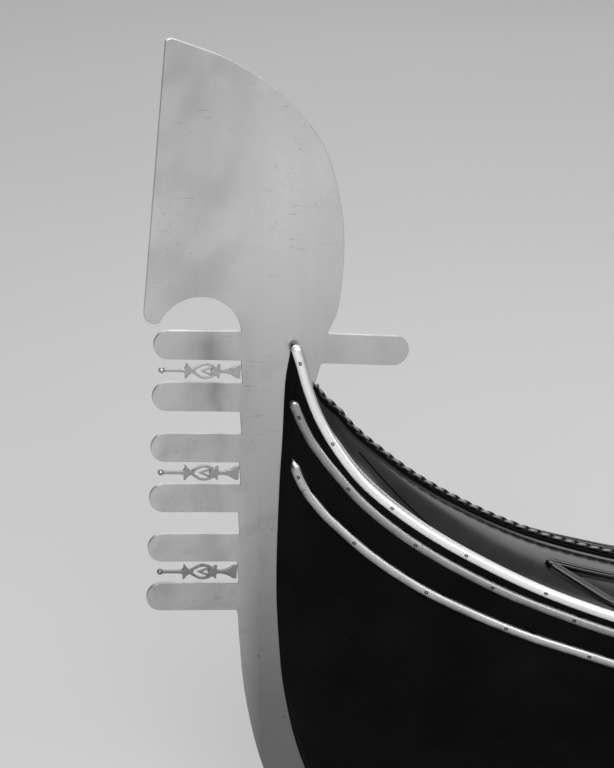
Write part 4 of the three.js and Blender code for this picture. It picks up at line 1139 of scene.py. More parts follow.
def relaxed(loop, rounds):
    """A closed line whose points are averaged with their neighbours a number of times."""
    for _ in range(rounds):
        loop = (np.roll(loop, 1, 0) + 2 * loop + np.roll(loop, -1, 0)) / 4
    return loop


def frame_path(side):
    """The frame's middle line on the deck, given as distance from the stem head and distance from
    the deck's middle, rounded at its corners and laid on the deck's surface."""
    tip_y = min(0.0855, rim_y(side, FRAME_TIP) * 0.54)
    ridge_y = min(FRAME_FROM_RIDGE, rim_y(side, FRAME_TIP) * 0.56)
    by_rim = np.linspace(FRAME_ELBOW, FRAME_END, 90)
    by_ridge = np.linspace(FRAME_END, FRAME_TIP + 0.02, 90)
    rows = [(FRAME_TIP, tip_y)]
    rows += [(along, rim_y(side, along) - FRAME_FROM_RIM) for along in by_rim]
    rows += [(along, ridge_y) for along in by_ridge]
    along, out = relaxed(divided(rows, 0.006, True), 3).T
    return deck_top(side, along / LENGTH, out / rim_y(side, along))


frame_paint = gloss_black("frame_paint", 1.5, grey(0.003), 0.04)
for side_name, side in SIDES:
    tilt = np.array([0.0, 0.12 * side, 1.0])
    shells = [bead(frame_path(side), tilt, FRAME_WIDTH, FRAME_HEIGHT, closed=True, squarer=0.5)]
    piece(f"deck_frame_{side_name}", shells, frame_paint, smooth_below=60)

# A caulked seam crosses each half of the foredeck's forward end, from beside the ridge to the rim.
SEAM_START = (0.116, 0.033)
SEAM_END = (0.258, 0.100)
SEAM_WIDTH = 0.0046
SEAM_HEIGHT = 0.0013
caulk = gloss_black("caulk", 1.08, grey(0.002), 0.45, grey(0.002))
for side_name, side in SIDES:
    share = np.linspace(0, 1, 60)
    along = SEAM_START[0] + (SEAM_END[0] - SEAM_START[0]) * share
    out = SEAM_START[1] + (SEAM_END[1] - SEAM_START[1]) * share ** 1.08
    line = deck_top(side, along / LENGTH, np.minimum(out / rim_y(side, along), 0.97))
    shells = [bead(line, np.array([0.0, 0.25 * side, 1.0]), SEAM_WIDTH, SEAM_HEIGHT)]
    piece(f"deck_seam_{side_name}", shells, caulk, smooth_below=60)

# Side decks run beside the cockpit: painted boards with a rounded inner edge and a bright bead.
# Black blocks stand on them for the finials and the rowlock.
SIDE_DECK = 0.150
DECK_NOSE = 0.006
FINIAL_BLOCK = (0.045, 0.030, 0.036)
ROWLOCK_BLOCK = (-2.280, -2.020)
INNER_BEAD = (0.007, 0.0034)


def board(low, high, edge, axis=2):
    """Rings of a board between two corners, thin along the axis, with rounded corners and edges."""
    low, high = np.array(low, float), np.array(high, float)
    flat = [k for k in range(3) if k != axis]
    half = (high - low)[flat] / 2
    round_off = min(edge * 1.6, half.min() * 0.9)
    corners = []
    for turn, (a, b) in zip((90, 0, -90, -180), ((1, 1), (1, -1), (-1, -1), (-1, 1))):
        centre = (a * (half[0] - round_off), b * (half[1] - round_off))
        start = math.radians(turn)
        corners.append(arc(centre, round_off, start, start - math.pi / 2, 5))
    drawn = plate(np.concatenate(corners), (high - low)[axis], edge)
    middle = (low + high) / 2
    rings = np.empty_like(drawn)
    rings[..., flat[0]] = drawn[..., 0] + middle[flat[0]]
    rings[..., flat[1]] = drawn[..., 2] + middle[flat[1]]
    rings[..., axis] = drawn[..., 1] + middle[axis]
    return rings


def box_of(node):
    """The lowest and highest corner of a solid's box."""
    return np.array(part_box(node))


cockpit_t = spaced(STEM_X - FOREDECK_END + 0.001, STEM_X - AFTERDECK_END - 0.001, 160)
for side_name, side in SIDES:
    outer = strake_face(side, cockpit_t, -DECK_RISE)
    corner = strake_face(side, cockpit_t, DECK - DECK_RISE)
    turn = np.linspace(math.pi / 2, -math.pi / 2, 9)
    across = np.concatenate([[0.0, 0.02, 0.08], SIDE_DECK - DECK_NOSE + DECK_NOSE * np.cos(turn)])
    up = np.concatenate([[0.0, 0.0008, 0.0008], -DECK / 2 + DECK / 2 * np.sin(turn)])
    rings = outer[:, None] + np.stack([0 * across, -side * across, up], 1)[None]
    shells = [skin(np.concatenate([rings, corner[:, None]], 1))]
    foot, head = box_of(f"finial_{side_name}")
    half_long, half_wide, high = FINIAL_BLOCK
    x, y = (foot + head)[:2] / 2
    top = foot[2] - GAP
    low = (x - half_long, y - half_wide, top - high)
    shells.append(skin(board(low, (x + half_long, y + half_wide, top), 0.006)))
    if side < 0:
        foot, head = box_of("rowlock")
        y = (foot + head)[1] / 2
        top = foot[2] - GAP
        low = (ROWLOCK_BLOCK[0], y - 0.040, top - 0.048)
        shells.append(skin(board(low, (ROWLOCK_BLOCK[1], y + 0.040, top), 0.007)))
    name = f"side_deck_{side_name}"
    piece(name, shells, deck_paint, [f"gunwale_{side_name}"])
    line = outer + np.array([0, -side * BEAD_IN, 0.0008])
    shells = [bead(line, UPRIGHT, BEAD_WIDTH, BEAD_HEIGHT)]
    line = outer + np.array([0, -side * (SIDE_DECK - 0.014), 0.0002])
    shells.append(bead(line, UPRIGHT, *INNER_BEAD))
    name = f"side_deck_beads_{side_name}"
    piece(name, shells, edge_look, smooth_below=60)

# Turned brass finials: polished, browner in patches, with fine wiping marks.
FINIAL = (
    # height, radius
    (0, 20.0), (4, 20.2), (8, 19.4), (11, 14.5), (14, 12.4), (20, 9.6), (28, 9.0), (33, 9.8),
    (38, 14.6), (44, 17.4), (50, 17.0), (54, 18.8), (58, 20.2), (63, 18.6), (68, 15.2), (74, 13.2),
    (79, 8.6), (83, 8.4), (88, 13.4), (93, 15.6), (99, 17.2), (104, 18.0), (110, 16.4),
    (116, 12.8), (122, 8.8), (128, 6.2), (132, 7.2), (137, 9.2), (142, 8.6), (147, 6.6),
    (151, 4.4), (155, 1.6), (156, 0.1),
)


def turned(rows, place, around=40, count=110):
    """A turned piece: a smooth curve through rows of (height, radius), carried round a circle."""
    line = along_points(rows, count) * MM
    angle = round_angles(around)[None]
    height, radius = line[:, 0][:, None], np.maximum(line[:, 1], 1e-5)[:, None]
    rings = np.stack([radius * np.cos(angle), radius * np.sin(angle), height + 0 * angle], -1)
    return rings + np.array(place)


def brass_look():
    """Polished brass, browner in patches, with fine wiping marks."""
    finish = Finish("brass", metallic=1.0)
    stain = finish.patches(0.42, 0.70, 45.0, 5.0, 0.65)
    fine = finish.cloud(320.0, 3.0, 0.6)
    tone = finish.mix(stain, (0.78, 0.56, 0.25, 1), (0.38, 0.24, 0.10, 1))
    return finish.dress(tone, 0.16 + stain * 0.2 + fine * 0.06, finish.bump(fine, 0.0001))


brass = brass_look()
for side_name, side in SIDES:
    node = f"finial_{side_name}"
    foot, head = box_of(node)
    place = (*(foot + head)[:2] / 2, foot[2])
    piece(f"brass_{node}", [skin(turned(FINIAL, place))], brass, [node])

# The rowlock is carved from one block of walnut: a post with a thin waist and two hooked arms.
ROWLOCK_LINE = (
    # forward of its middle, height
    (-60, 0), (-51, 60), (-47, 120), (-54, 175), (-72, 225), (-86, 280), (-94, 340), (-84, 398),
    (-66, 421), (-46, 418), (-33, 396), (-27, 362), (-14, 340), (4, 331), (24, 346), (35, 374),
    (31, 402), (50, 418), (76, 412), (96, 390), (104, 352), (97, 312), (80, 282), (64, 240),
    (61, 200), (68, 150), (76, 100), (77, 50), (70, 0),
)
ROWLOCK_X = -2.150
ROWLOCK_THICK = 0.058
ROWLOCK_EDGE = 0.013
WALNUT_PALE = (0.190, 0.098, 0.046, 1)
WALNUT_DARK = (0.062, 0.030, 0.014, 1)
GRAIN = 70.0
GRAIN_RINGS = 9.0


def wood(name, pale, dark, along, gloss):
    """Wood with its grain along one axis: stretched rings bent by slow noise, fine pores, and a
    sheen that is lower in the pores. along is the axis, 0 to 2."""
    finish = Finish(name)
    ring_stretch = [GRAIN * 0.18] * 3
    ring_stretch[along] = GRAIN * 0.012
    pore_stretch = [GRAIN * 7.0] * 3
    pore_stretch[along] = GRAIN * 0.35
    bent = finish.cloud(1.0, 3.0, 0.55, finish.stretched(ring_stretch))
    pores = finish.patches(0.54, 0.66, 1.0, 2.0, 0.6, finish.stretched(pore_stretch))
    turns = bent * (GRAIN_RINGS * 2 * math.pi)
    rings = finish.node("ShaderNodeMath", {"operation": "SINE"}, {0: turns})
    shade = finish.ramp(rings * 0.5 + 0.5, (0.2, 0), (0.95, 1))
    tone = finish.mix(shade * 0.6 + finish.cloud(3.0) * 0.35, pale, dark)
    tone = finish.mix(pores * 0.45, tone, tuple(0.35 * value for value in dark[:3]) + (1,))
    roughness = gloss + pores * 0.18 + shade * 0.05
    return finish.dress(tone, roughness, finish.bump(shade * 0.2 - pores * 0.8, 0.0004))


walnut = wood("walnut", WALNUT_PALE, WALNUT_DARK, 2, 0.34)
rings = plate(along_points(ROWLOCK_LINE, 150) * MM, ROWLOCK_THICK, ROWLOCK_EDGE, 6)
height = rings[..., 2]
waist = 1 - 0.30 * np.exp(-((height - 0.20) / 0.08) ** 2) - 0.18 * smooth(height, 0.30, 0.43)
rings[..., 1] *= waist
foot, head = box_of("rowlock")
rings += np.array([ROWLOCK_X, (foot + head)[1] / 2, foot[2]])
piece("walnut_rowlock", [skin(rings)], walnut, ["rowlock"], smooth_below=40)

# Inside the cockpit the shell is stiffened by frames, and loose floor planks lie on bearers. The
# frames stop above the side benches and are left out beside the cross seats and the seat's back.
FLOOR_TOP = -0.060
FLOOR_THICK = 0.022
FLOOR_ENDS = (2.630, -2.318)
FLOOR_FROM_SHELL = 0.009
PLANKS = 9
PLANK_GAP = 0.003
BEARER_HALF = 0.02
FRAME_STEP = 0.36
FRAME_HALF = 0.016
FRAME_THICK = 0.022
BENCH_SPAN = (-0.15, 1.28)
ABOVE_BENCHES = 0.190
ABOVE_FLOOR = -0.058


def inner_y(side, x, z):
    """The y of the shell's inner face at an x and a height: the shares t and v are found by
    stepping from v to t and back until they settle."""
    x, z = np.broadcast_arrays(np.asarray(x, float), np.asarray(z, float))
    v = np.full(x.shape, 0.3)
    for _ in range(10):
        bow, stern = posts_at(v)
        t = (bow - x) / (bow - stern)
        low = bottom_height(t)
        v = np.clip((z - low) / (rim_at(t) - low), 0, 1)
    return hull_point(side, t, v, BOARD)[..., 1]


def bottom_at(x):
    bow, stern = posts_at(0.0)
    return bottom_height((bow - x) / (bow - stern))


def long_board(corners, edge):
    """The shell of a long board given by its four corner lines, each the x, y and z of its
    stations: each corner is cut twice, so that the edge looks rounded."""
    lines = [np.stack(np.broadcast_arrays(*corner), -1).astype(float) for corner in corners]
    rings = []
    for here, before, after in zip(lines, lines[-1:] + lines[:-1], lines[1:] + lines[:1]):
        to_before = unit(before - here) * edge
        to_after = unit(after - here) * edge
        rings += [here + to_before, here + (to_before + to_after) * 0.29, here + to_after]
    return skin(np.stack(rings, 1))


floor_wood = wood("floor_wood", (0.060, 0.054, 0.046, 1), (0.022, 0.020, 0.018, 1), 0, 0.42)
floor_x = np.linspace(*FLOOR_ENDS, 60)
floor_low = FLOOR_TOP - FLOOR_THICK
starboard_edge = inner_y(-1, floor_x, floor_low) + FLOOR_FROM_SHELL
floor_width = inner_y(1, floor_x, floor_low) - FLOOR_FROM_SHELL - starboard_edge
shells = []
for number in range(PLANKS):
    right = starboard_edge + floor_width * number / PLANKS + PLANK_GAP / 2
    left = starboard_edge + floor_width * (number + 1) / PLANKS - PLANK_GAP / 2
    corners = ((right, floor_low), (left, floor_low), (left, FLOOR_TOP), (right, FLOOR_TOP))
    shells.append(long_board([(floor_x, y, z) for y, z in corners], 0.003))
for x in np.linspace(2.50, -2.20, 9):
    x_ends = (x - BEARER_HALF, x + BEARER_HALF)
    low = (x_ends[0], inner_y(-1, x, -0.10) + 0.03, max(map(bottom_at, x_ends)) + 0.001)
    shells.append(skin(board(low, (x_ends[1], inner_y(1, x, -0.10) - 0.03, floor_low), 0.003)))
piece("floor_planks", shells, floor_wood, ["floorboards"])

shells = []
for x in np.arange(-2.25, 2.6, FRAME_STEP):
    if min(abs(x - 2.0), abs(x + 1.5)) < 0.13 or abs(x + 0.85) < 0.16:
        continue
    foot = ABOVE_BENCHES if BENCH_SPAN[0] < x < BENCH_SPAN[1] else ABOVE_FLOOR
    z = np.linspace(foot, float(rim_height(np.array(x))) - 0.012, 16)
    aft_x, fore_x = x - FRAME_HALF, x + FRAME_HALF
    for side_name, side in SIDES:
        aft, fore = inner_y(side, aft_x, z), inner_y(side, fore_x, z)
        out, inward = side * 0.002, -side * FRAME_THICK
        corners = (
            (aft_x, aft + out, z), (fore_x, fore + out, z),
            (fore_x, fore + inward, z), (aft_x, aft + inward, z),
        )
        shells.append(long_board(corners, 0.004))
piece("hull_frames", shells, deck_paint)

# Cross seats: varnished boards with rounded edges, their ends cut to the shell.
CARVED_PALE = (0.30, 0.17, 0.075, 1)
CARVED_DARK = (0.10, 0.05, 0.022, 1)
bench_wood = wood("cross_seat_wood", CARVED_PALE, CARVED_DARK, 1, 0.28)
for node in ("thwart_forward", "thwart_aft"):
    low, high = box_of(node)
    section = board((low[0], -1.0, low[2]), (high[0], 1.0, high[2]), 0.009, axis=1)[3]
    x, z = section[:, 0], section[:, 2]
    right, left = inner_y(-1, x, z) + 0.0012, inner_y(1, x, z) - 0.0012
    share = np.linspace(0, 1, 24)[:, None]
    rings = np.stack([x + 0 * share, right + (left - right) * share, z + 0 * share], -1)
    piece(f"{node}_board", [skin(rings)], bench_wood, [node])

# Carved cross beams close the two decks: varnished boards with raised scrolls, a moulded cap and a
# moulded surround round the locker's door. Each door is panelled, with a rosette, a brass knob and
# black iron strap hinges at its port edge.
SURROUND = 0.275
SURROUND_Z = (-0.058, 0.262)
DOOR_HALF = 0.230
BEAM_DEPTH = 0.026
BULKHEADS = (
    # beam, door, body of the door, where the deck ends, the way the beam faces
    ("foredeck_bulkhead", "fore_locker_door", "fore_door", 2.6712, -1),
    ("afterdeck_bulkhead", "aft_locker_door", "aft_door", -2.3612, 1),
)
CAP_LINES = (
    # below the deck's edge, width, height
    (0.0, 0.022, 0.012), (0.026, 0.009, 0.006),
)
BEAM_SCROLLS = (
    # from the middle, up, size, turned by
    (0.105, 0.338, 0.040, 2.6), (0.215, 0.330, 0.036, 0.3), (0.318, 0.215, 0.030, 1.5),
)
DOOR_PANELS = (
    # from the door's middle to starboard and to port, low, high, width and height of the bead
    (-0.190, 0.160, -0.008, 0.203, 0.014, 0.006), (-0.172, 0.142, 0.010, 0.185, 0.006, 0.003),
)
DOOR_ROSETTE = (-0.015, 0.097)
DOOR_SCROLL = 0.092
HINGE_FOOTS = (0.010, 0.105)
HINGE_RADIUS = 0.007
KNUCKLE = 0.040
BARREL = ((0, 7.1), (1, 7.3), (3, 7.15), (20, 7.15), (37, 7.15), (39, 7.3), (40, 7.1))
STRAP_LONG = 0.125
KNOB_PLACE = (-0.208, 0.110)
KNOB = (
    (0, 9.0), (2, 9.0), (3, 5.0), (8, 4.4), (11, 7.4), (15, 9.4), (19, 8.6), (22, 4.6), (23, 0.1),
)
CURL = 0.28


def squared(low, high, at):
    """A closed rectangle of points with rounded corners across the boat, at an x: a superellipse
    whose radius is (|cos|^14 + |sin|^14)^(-1/14)."""
    angle = round_angles(160)
    across, up = np.cos(angle), np.sin(angle)
    reach = (np.abs(across) ** 14 + np.abs(up) ** 14) ** (-1 / 14)
    y = (low[0] + high[0]) / 2 + (high[0] - low[0]) / 2 * across * reach
    z = (low[1] + high[1]) / 2 + (high[1] - low[1]) / 2 * up * reach
    return np.stack([np.full(160, at), y, z], 1)


def scroll(at, away, middle, size, turned_by, flip):
    """Raised leaf scroll: a spiral r = size exp(-0.28 a) whose width falls towards its eye, with
    curled leaves along its outer side. Across the boat at an x, mirrored where flip is -1."""
    def placed(across, up):
        c, s = math.cos(turned_by), math.sin(turned_by)
        y = middle[0] + flip * (across * c - up * s)
        return np.stack([np.full(len(y), at), y, middle[1] + across * s + up * c], 1)

    angle = np.linspace(0, 8.6, 90)
    radius = size * np.exp(-CURL * angle)
    wide = (0.0050 + 0.16 * radius * np.minimum(1, angle / 1.5))[:, None, None]
    line = placed(radius * np.cos(angle), radius * np.sin(angle))
    shells = [bead(line, away, wide, wide * 0.55)]
    share = np.linspace(0, 1, 16)
    for start in (0.5, 1.3, 2.1, 3.0, 4.0):
        reach = size * math.exp(-CURL * start)
        bend = start + 0.10 + share * 0.75
        out = reach * (1.02 + 0.62 * share ** 0.8 * (1.15 - 0.35 * share))
        leaf = placed(out * np.cos(bend), out * np.sin(bend))
        swell = np.sin(math.pi * np.clip(share * 0.95, 0, 1)) ** 0.8
        wide = (0.003 + 0.30 * reach * swell)[:, None, None]
        shells.append(bead(leaf, away, wide, wide * 0.42 + 0.0012))
    return shells


def rosette(at, facing, middle, size):
    """A round flower of eight petals on a board across the boat: a dome whose radius and height
    swell with cos 8 a, and a small button in its middle."""
    angle = round_angles(96)[None]
    radius = np.linspace(1, 0.02, 30)[:, None]
    petals = np.cos(8 * angle)
    reach = size * (1 + 0.12 * petals) * radius
    lift = size * 0.24 * np.sqrt(1 - radius ** 2) * (0.70 + 0.30 * petals)
    button = size * (0.16 + 0.16 * np.sqrt(np.maximum(0, 1 - (radius / 0.28) ** 2)))
    lift = np.where(radius < 0.28, button, lift)
    x = at + facing * (lift - 0.001)
    return skin(np.stack([x, middle[0] + reach * np.cos(angle), middle[1] + reach * np.sin(angle)], -1))


def cap_line(face):
    """The line of a beam's cap, from one side deck to the other, just over the deck's crown."""
    t = (STEM_X - face) / LENGTH
    rims = {side: strake_face(side, np.array(t), -DECK_RISE) for side in (1, -1)}
    line = []
    for part in np.linspace(-1, 1, 61):
        rim = rims[1 if part > 0 else -1]
        y = abs(part) * (rim[1] - math.copysign(SIDE_DECK + 0.006, rim[1]))
        rise = float(crown(from_post(t))) * (1 - (y / rim[1]) ** 2)
        line.append([face, y, rim[2] + rise + 0.009])
    return np.array(line)


def strap(face, facing, axis_y, z):
    """An iron strap on a door: it narrows from its knuckle and ends in a round leaf."""
    near_x, far_x = face - facing * 0.0005, face + facing * 0.0030
    rings = []
    for part in np.linspace(0, 1, 40):
        half = 0.017 - 0.009 * part + 0.006 * math.exp(-((part - 0.86) / 0.07) ** 2)
        half *= math.sqrt(max(0.02, 1 - max(0.0, (part - 0.9) / 0.1) ** 2))
        y = axis_y - 0.036 - STRAP_LONG * part
        rings.append([
            [near_x, y, z - half], [far_x, y, z - half * 0.9],
            [far_x, y, z + half * 0.9], [near_x, y, z + half],
        ])
    return skin(np.array(rings))


def knuckle(face, facing, axis_y, low_z, far_y):
    """One knuckle of a hinge: its barrel round the axis, and the flat leaf out to far_y."""
    axis_x = face + facing * HINGE_RADIUS
    x_ends = sorted((face - facing * 0.0005, axis_x + facing * 0.0008))
    y_ends = sorted((axis_y, far_y))
    low = (x_ends[0], y_ends[0], low_z)
    leaf = skin(board(low, (x_ends[1], y_ends[1], low_z + KNUCKLE), 0.0012))
    return [leaf, skin(turned(BARREL, (axis_x, axis_y, low_z), 24, 30))]


trim_wood = wood("moulded_wood", CARVED_PALE, CARVED_DARK, 1, 0.25)
panel_wood = wood("panel_wood", (0.20, 0.105, 0.045, 1), (0.075, 0.036, 0.016, 1), 1, 0.30)
iron_black = gloss_black("strap_paint", 1.45, grey(0.03))
for beam, door, body, deck_end, facing in BULKHEADS:
    for node in (beam, door):
        for material_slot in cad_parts[node].material_slots:
            material_slot.material = panel_wood
    face = deck_end + facing * BEAM_DEPTH
    away = np.array([float(facing), 0.0, 0.0])
    middle = LEAN_TO_PORT * float(fullness((STEM_X - deck_end) / LENGTH))
    low_z, high_z = SURROUND_Z
    corners = [(-SURROUND, low_z), (-SURROUND, high_z), (SURROUND, high_z), (SURROUND, low_z)]
    line = divided([(face, middle + y, z) for y, z in corners], 0.006, False)
    for _ in range(2):
        line[1:-1] = (line[:-2] + 2 * line[1:-1] + line[2:]) / 4
    trims = [bead(line, away, 0.020, 0.008)]
    for drop, wide, high in CAP_LINES:
        trims.append(bead(cap_line(face) - drop * UPRIGHT, away, wide, high))
    for sign in (1, -1):
        for across, up, size, turned_by in BEAM_SCROLLS:
            trims += scroll(face, away, (middle + sign * across, up), size, turned_by, sign)
    trims.append(rosette(face, facing, (middle, 0.335), 0.034))
    piece(f"{beam}_carving", trims, trim_wood, smooth_below=60)

    reliefs = []
    for right, left, low_z, high_z, wide, high in DOOR_PANELS:
        panel = squared((middle + right, low_z), (middle + left, high_z), face)
        reliefs.append(bead(panel, away, wide, high, closed=True))
    y, z = middle + DOOR_ROSETTE[0], DOOR_ROSETTE[1]
    reliefs.append(rosette(face, facing, (y, z), 0.040))
    for sign in (1, -1):
        reliefs += scroll(face, away, (y + sign * DOOR_SCROLL, z), 0.030, 1.0, sign)
    piece(f"{door}_carving", reliefs, trim_wood, body=body, smooth_below=60)

    axis_y = middle + DOOR_HALF - 0.0025
    fixed, moving = [], []
    for foot in HINGE_FOOTS:
        upper = foot + KNUCKLE + GAP
        fixed += knuckle(face, facing, axis_y, foot, middle + DOOR_HALF + 0.0345)
        moving += knuckle(face, facing, axis_y, upper, axis_y - 0.0405)
        moving.append(strap(face, facing, axis_y, upper + KNUCKLE / 2))
    piece(f"{beam}_straps", fixed, iron_black, smooth_below=40)
    piece(f"{door}_straps", moving, iron_black, body=body, smooth_below=40)
    rings = turned(KNOB, (0.0, 0.0, 0.0), 28, 46)
    rings = np.stack([facing * (rings[..., 2] - 0.001), rings[..., 0], rings[..., 1]], -1)
    rings += np.array([face, middle + KNOB_PLACE[0], KNOB_PLACE[1]])
    piece(f"{door}_knob", [skin(rings)], brass, body=body)

# The passengers' seat: a panelled black base, a pale cushion filled until it bulges, and a padded
# back in black leather with two lobes, diamond quilting, light piping and a carved crest.
SEAT_PANELS = 3
PANEL_IN = 0.028
PANEL_FROM_EDGE = 0.035
seat_low, seat_high = box_of("seat_base")
seat_middle = (seat_low + seat_high) / 2
shells = [skin(board(seat_low, seat_high, 0.006))]
width = (seat_high[1] - seat_low[1]) / SEAT_PANELS
for x, facing in ((seat_high[0], 1.0), (seat_low[0], -1.0)):
    for number in range(SEAT_PANELS):
        right = seat_low[1] + width * number + PANEL_IN
        left = seat_low[1] + width * (number + 1) - PANEL_IN
        low, high = (right, seat_low[2] + PANEL_FROM_EDGE), (left, seat_high[2] - PANEL_FROM_EDGE)
        away = np.array([facing, 0.0, 0.0])
        shells.append(bead(squared(low, high, x), away, 0.012, 0.005, closed=True))
piece("seat_box", shells, deck_paint, ["seat_base"])


def woven_cloth(name, pale, dark, threads=900.0):
    """Plain woven cotton: threads across each other, slightly uneven, with soft soiling."""
    finish = Finish(name)
    finish.shader.inputs["Sheen Weight"].default_value = 0.25
    warp, weft = (
        finish.node("ShaderNodeTexWave", {"bands_direction": across}, {
            "Vector": finish.place, "Scale": threads / 6.283, "Distortion": 0.6, "Detail": 1.0,
        })
        for across in ("X", "Y")
    )
    weave = warp * weft
    soil = finish.patches(0.40, 0.75, 7.0, 5.0, 0.6)
    tone = finish.mix(soil * 0.5 + (1 - weave) * 0.35, pale, dark)
    return finish.dress(tone, 0.86, finish.bump(weave, 0.0004))


def black_leather():
    """Supple black leather: pebbled grain, creases, and a dull bloom where it is sat on."""
    finish = Finish("black_leather", ior=1.5)
    grain = finish.node("ShaderNodeTexVoronoi", None, {"Vector": finish.place, "Scale": 520.0})
    creases = finish.patches(0.48, 0.56, 26.0, 5.0, 0.65)
    bloom = finish.cloud(6.0, 4.0, 0.6)
    tone = finish.mix(bloom, (0.010, 0.010, 0.0105, 1), (0.026, 0.026, 0.027, 1))
    roughness = 0.30 + bloom * 0.2 + grain * 0.1
    return finish.dress(tone, roughness, finish.bump(grain * 0.5 + creases * 0.5, 0.0006))


CUSHION_EDGE = 0.020
CUSHION_SHRINK = np.array([0.024, 0.024, 0.0])
CUSHION_TOP_ROOM = np.array([0, 0, 0.018])
VOXEL = 0.006
PRESSURE = 4.0
FRAMES = 20
CAP = 0.026


def positions(mesh):
    flat = np.empty(len(mesh.vertices) * 3)
    mesh.vertices.foreach_get("co", flat)
    return flat.reshape(-1, 3)


def settled(made):
    """The mesh of an object with its modifiers applied."""
    graph = bpy.context.evaluated_depsgraph_get()
    return bpy.data.meshes.new_from_object(made.evaluated_get(graph))


def puffed(name, low, high, finish, node, seams):
    """A cushion: a rounded block blown up as cloth, each point held within CAP of where it began.
    Gives back the seams, closed lines on the block, carried along with the cloth."""
    shells = [skin(board(low, high, CUSHION_EDGE))]
    made = piece(name, shells, finish, [node], smooth_below=180)
    bpy.context.view_layer.objects.active = made
    remesh = made.modifiers.new("remesh", "REMESH")
    remesh.mode = "VOXEL"
    remesh.voxel_size = VOXEL
    remesh.use_smooth_shade = True
    start = settled(made)
    made.modifiers.remove(remesh)
    blown = bpy.data.objects.new(f"{name}_blown", start)
    bpy.context.scene.collection.objects.link(blown)
    before = positions(start)
    cloth = blown.modifiers.new("cloth", "CLOTH")
    cloth.settings.quality = 4
    cloth.settings.use_pressure = True
    cloth.settings.uniform_pressure_force = PRESSURE
    cloth.settings.effector_weights.gravity = 0.0
    cloth.point_cache.frame_start = 1
    cloth.point_cache.frame_end = FRAMES
    for number in range(1, FRAMES + 1):
        bpy.context.scene.frame_set(number)
    after_mesh = settled(blown)
    bpy.context.scene.frame_set(1)
    moved = positions(after_mesh) - before
    size = np.linalg.norm(moved, axis=1)[:, None]
    moved *= CAP * np.tanh(size / CAP) / np.maximum(size, 1e-9)
    points = before + moved
    points[:, 2] = np.maximum(points[:, 2], low[2])
    after_mesh.vertices.foreach_set("co", points.ravel())
    for number, seam in enumerate(seams):
        nearest = [int(np.argmin(((before - point) ** 2).sum(1))) for point in seam]
        seams[number] = relaxed(seam + (points - before)[nearest], 6)
    after_mesh.materials.clear()
    after_mesh.materials.append(finish)
    after_mesh.polygons.foreach_set("use_smooth", np.ones(len(after_mesh.polygons), bool))
    bpy.data.objects.remove(blown)
    made.data = after_mesh
    return seams


cotton = woven_cloth("pale_cotton", (0.70, 0.68, 0.63, 1), (0.42, 0.39, 0.34, 1))
block_low, block_high = box_of("seat_cushion")
block_low = block_low + CUSHION_SHRINK
block_high = block_high - CUSHION_SHRINK - CUSHION_TOP_ROOM
seams = []
for height in (block_low[2] + 0.010, block_high[2] - 0.008):
    seam = divided(board(block_low, block_high, CUSHION_EDGE)[3], 0.008, True, least=1)
    seam[:, 2] = height
    seams.append(seam)
seams = puffed("pale_seat_cushion", block_low, block_high, cotton, "seat_cushion", seams)

# The padded back is drawn as half its outline, mirrored, leaned back and quilted in diamonds.
BACK_HALF = (
    # across, up
    (0, 0), (200, 0), (398, 0), (404, 40), (424, 180), (440, 330), (438, 420), (414, 500),
    (368, 546), (320, 563), (250, 572), (180, 566), (120, 548), (86, 541), (62, 548), (46, 566),
    (30, 592), (12, 604), (0, 606),
)
BACK_FOOT = (-0.822, -0.0479)
BACK_LEAN = 0.17
BACK_THICK = 0.070
BACK_MIDDLE = np.array([0.0, 0.270])
BACK_EDGE = 0.014
QUILT = 0.062
QUILT_DEPTH = 0.010
SEAM_UP = (0.02, 0.535)
ACROSS_BACK = np.array([math.cos(BACK_LEAN), 0.0, math.sin(BACK_LEAN)])
leather = black_leather()


def lean_back(points):
    """Points (across, out, up) of the seat's back put in their place on the boat."""
    across, out, up = points[..., 0], points[..., 1], points[..., 2]
    x = BACK_FOOT[0] + out * math.cos(BACK_LEAN) - up * math.sin(BACK_LEAN)
    z = BACK_FOOT[1] + out * math.sin(BACK_LEAN) + up * math.cos(BACK_LEAN)
    return np.stack([x, seat_middle[1] + across, z], -1)


def quilted(across, up, spacing):
    """The depth of diamond quilting: deepest along two families of slanting seams and flat between
    them, where the sine of the place is over about a third."""
    one = np.abs(np.sin(math.pi * (across + up) / spacing))
    two = np.abs(np.sin(math.pi * (across - up) / spacing))
    return -QUILT_DEPTH * (1 - np.minimum(1, np.minimum(one, two) * 2.2) ** 0.5)


half_line = along_points(BACK_HALF, 140) * MM
back_line = np.concatenate([half_line, (half_line * np.array([-1, 1]))[::-1][1:-1]])
share = np.concatenate([np.linspace(1, 0.9, 9), np.linspace(0.9, 0.0, 60)[1:]])
flat = BACK_MIDDLE + (back_line - BACK_MIDDLE)[None] * share[:, None, None]
from_edge = np.clip((1 - share) / 0.1, 0, 1)[:, None]
front = BACK_EDGE * (np.sqrt(1 - (1 - from_edge) ** 2) - 1)
front = front + quilted(flat[..., 0], flat[..., 1], QUILT) * smooth(from_edge, 0.6, 1.0)
front = front - QUILT_DEPTH * np.exp(-(flat[..., 0] / 0.006) ** 2) * smooth(from_edge, 0.5, 1.0)
front_rings = np.stack([flat[..., 0], front, flat[..., 1]], -1)
rear_edge = front_rings[:1].copy()
rear_edge[..., 1] = -BACK_THICK + 0.008
rear_in = rear_edge.copy()
rear_in[..., 0] *= 0.985
rear_in[..., 1] = -BACK_THICK
rings = lean_back(np.concatenate([rear_in, rear_edge, front_rings[:-1]]))
back = piece("quilted_back", [skin(rings)], leather, ["seat_back"], smooth_below=60)


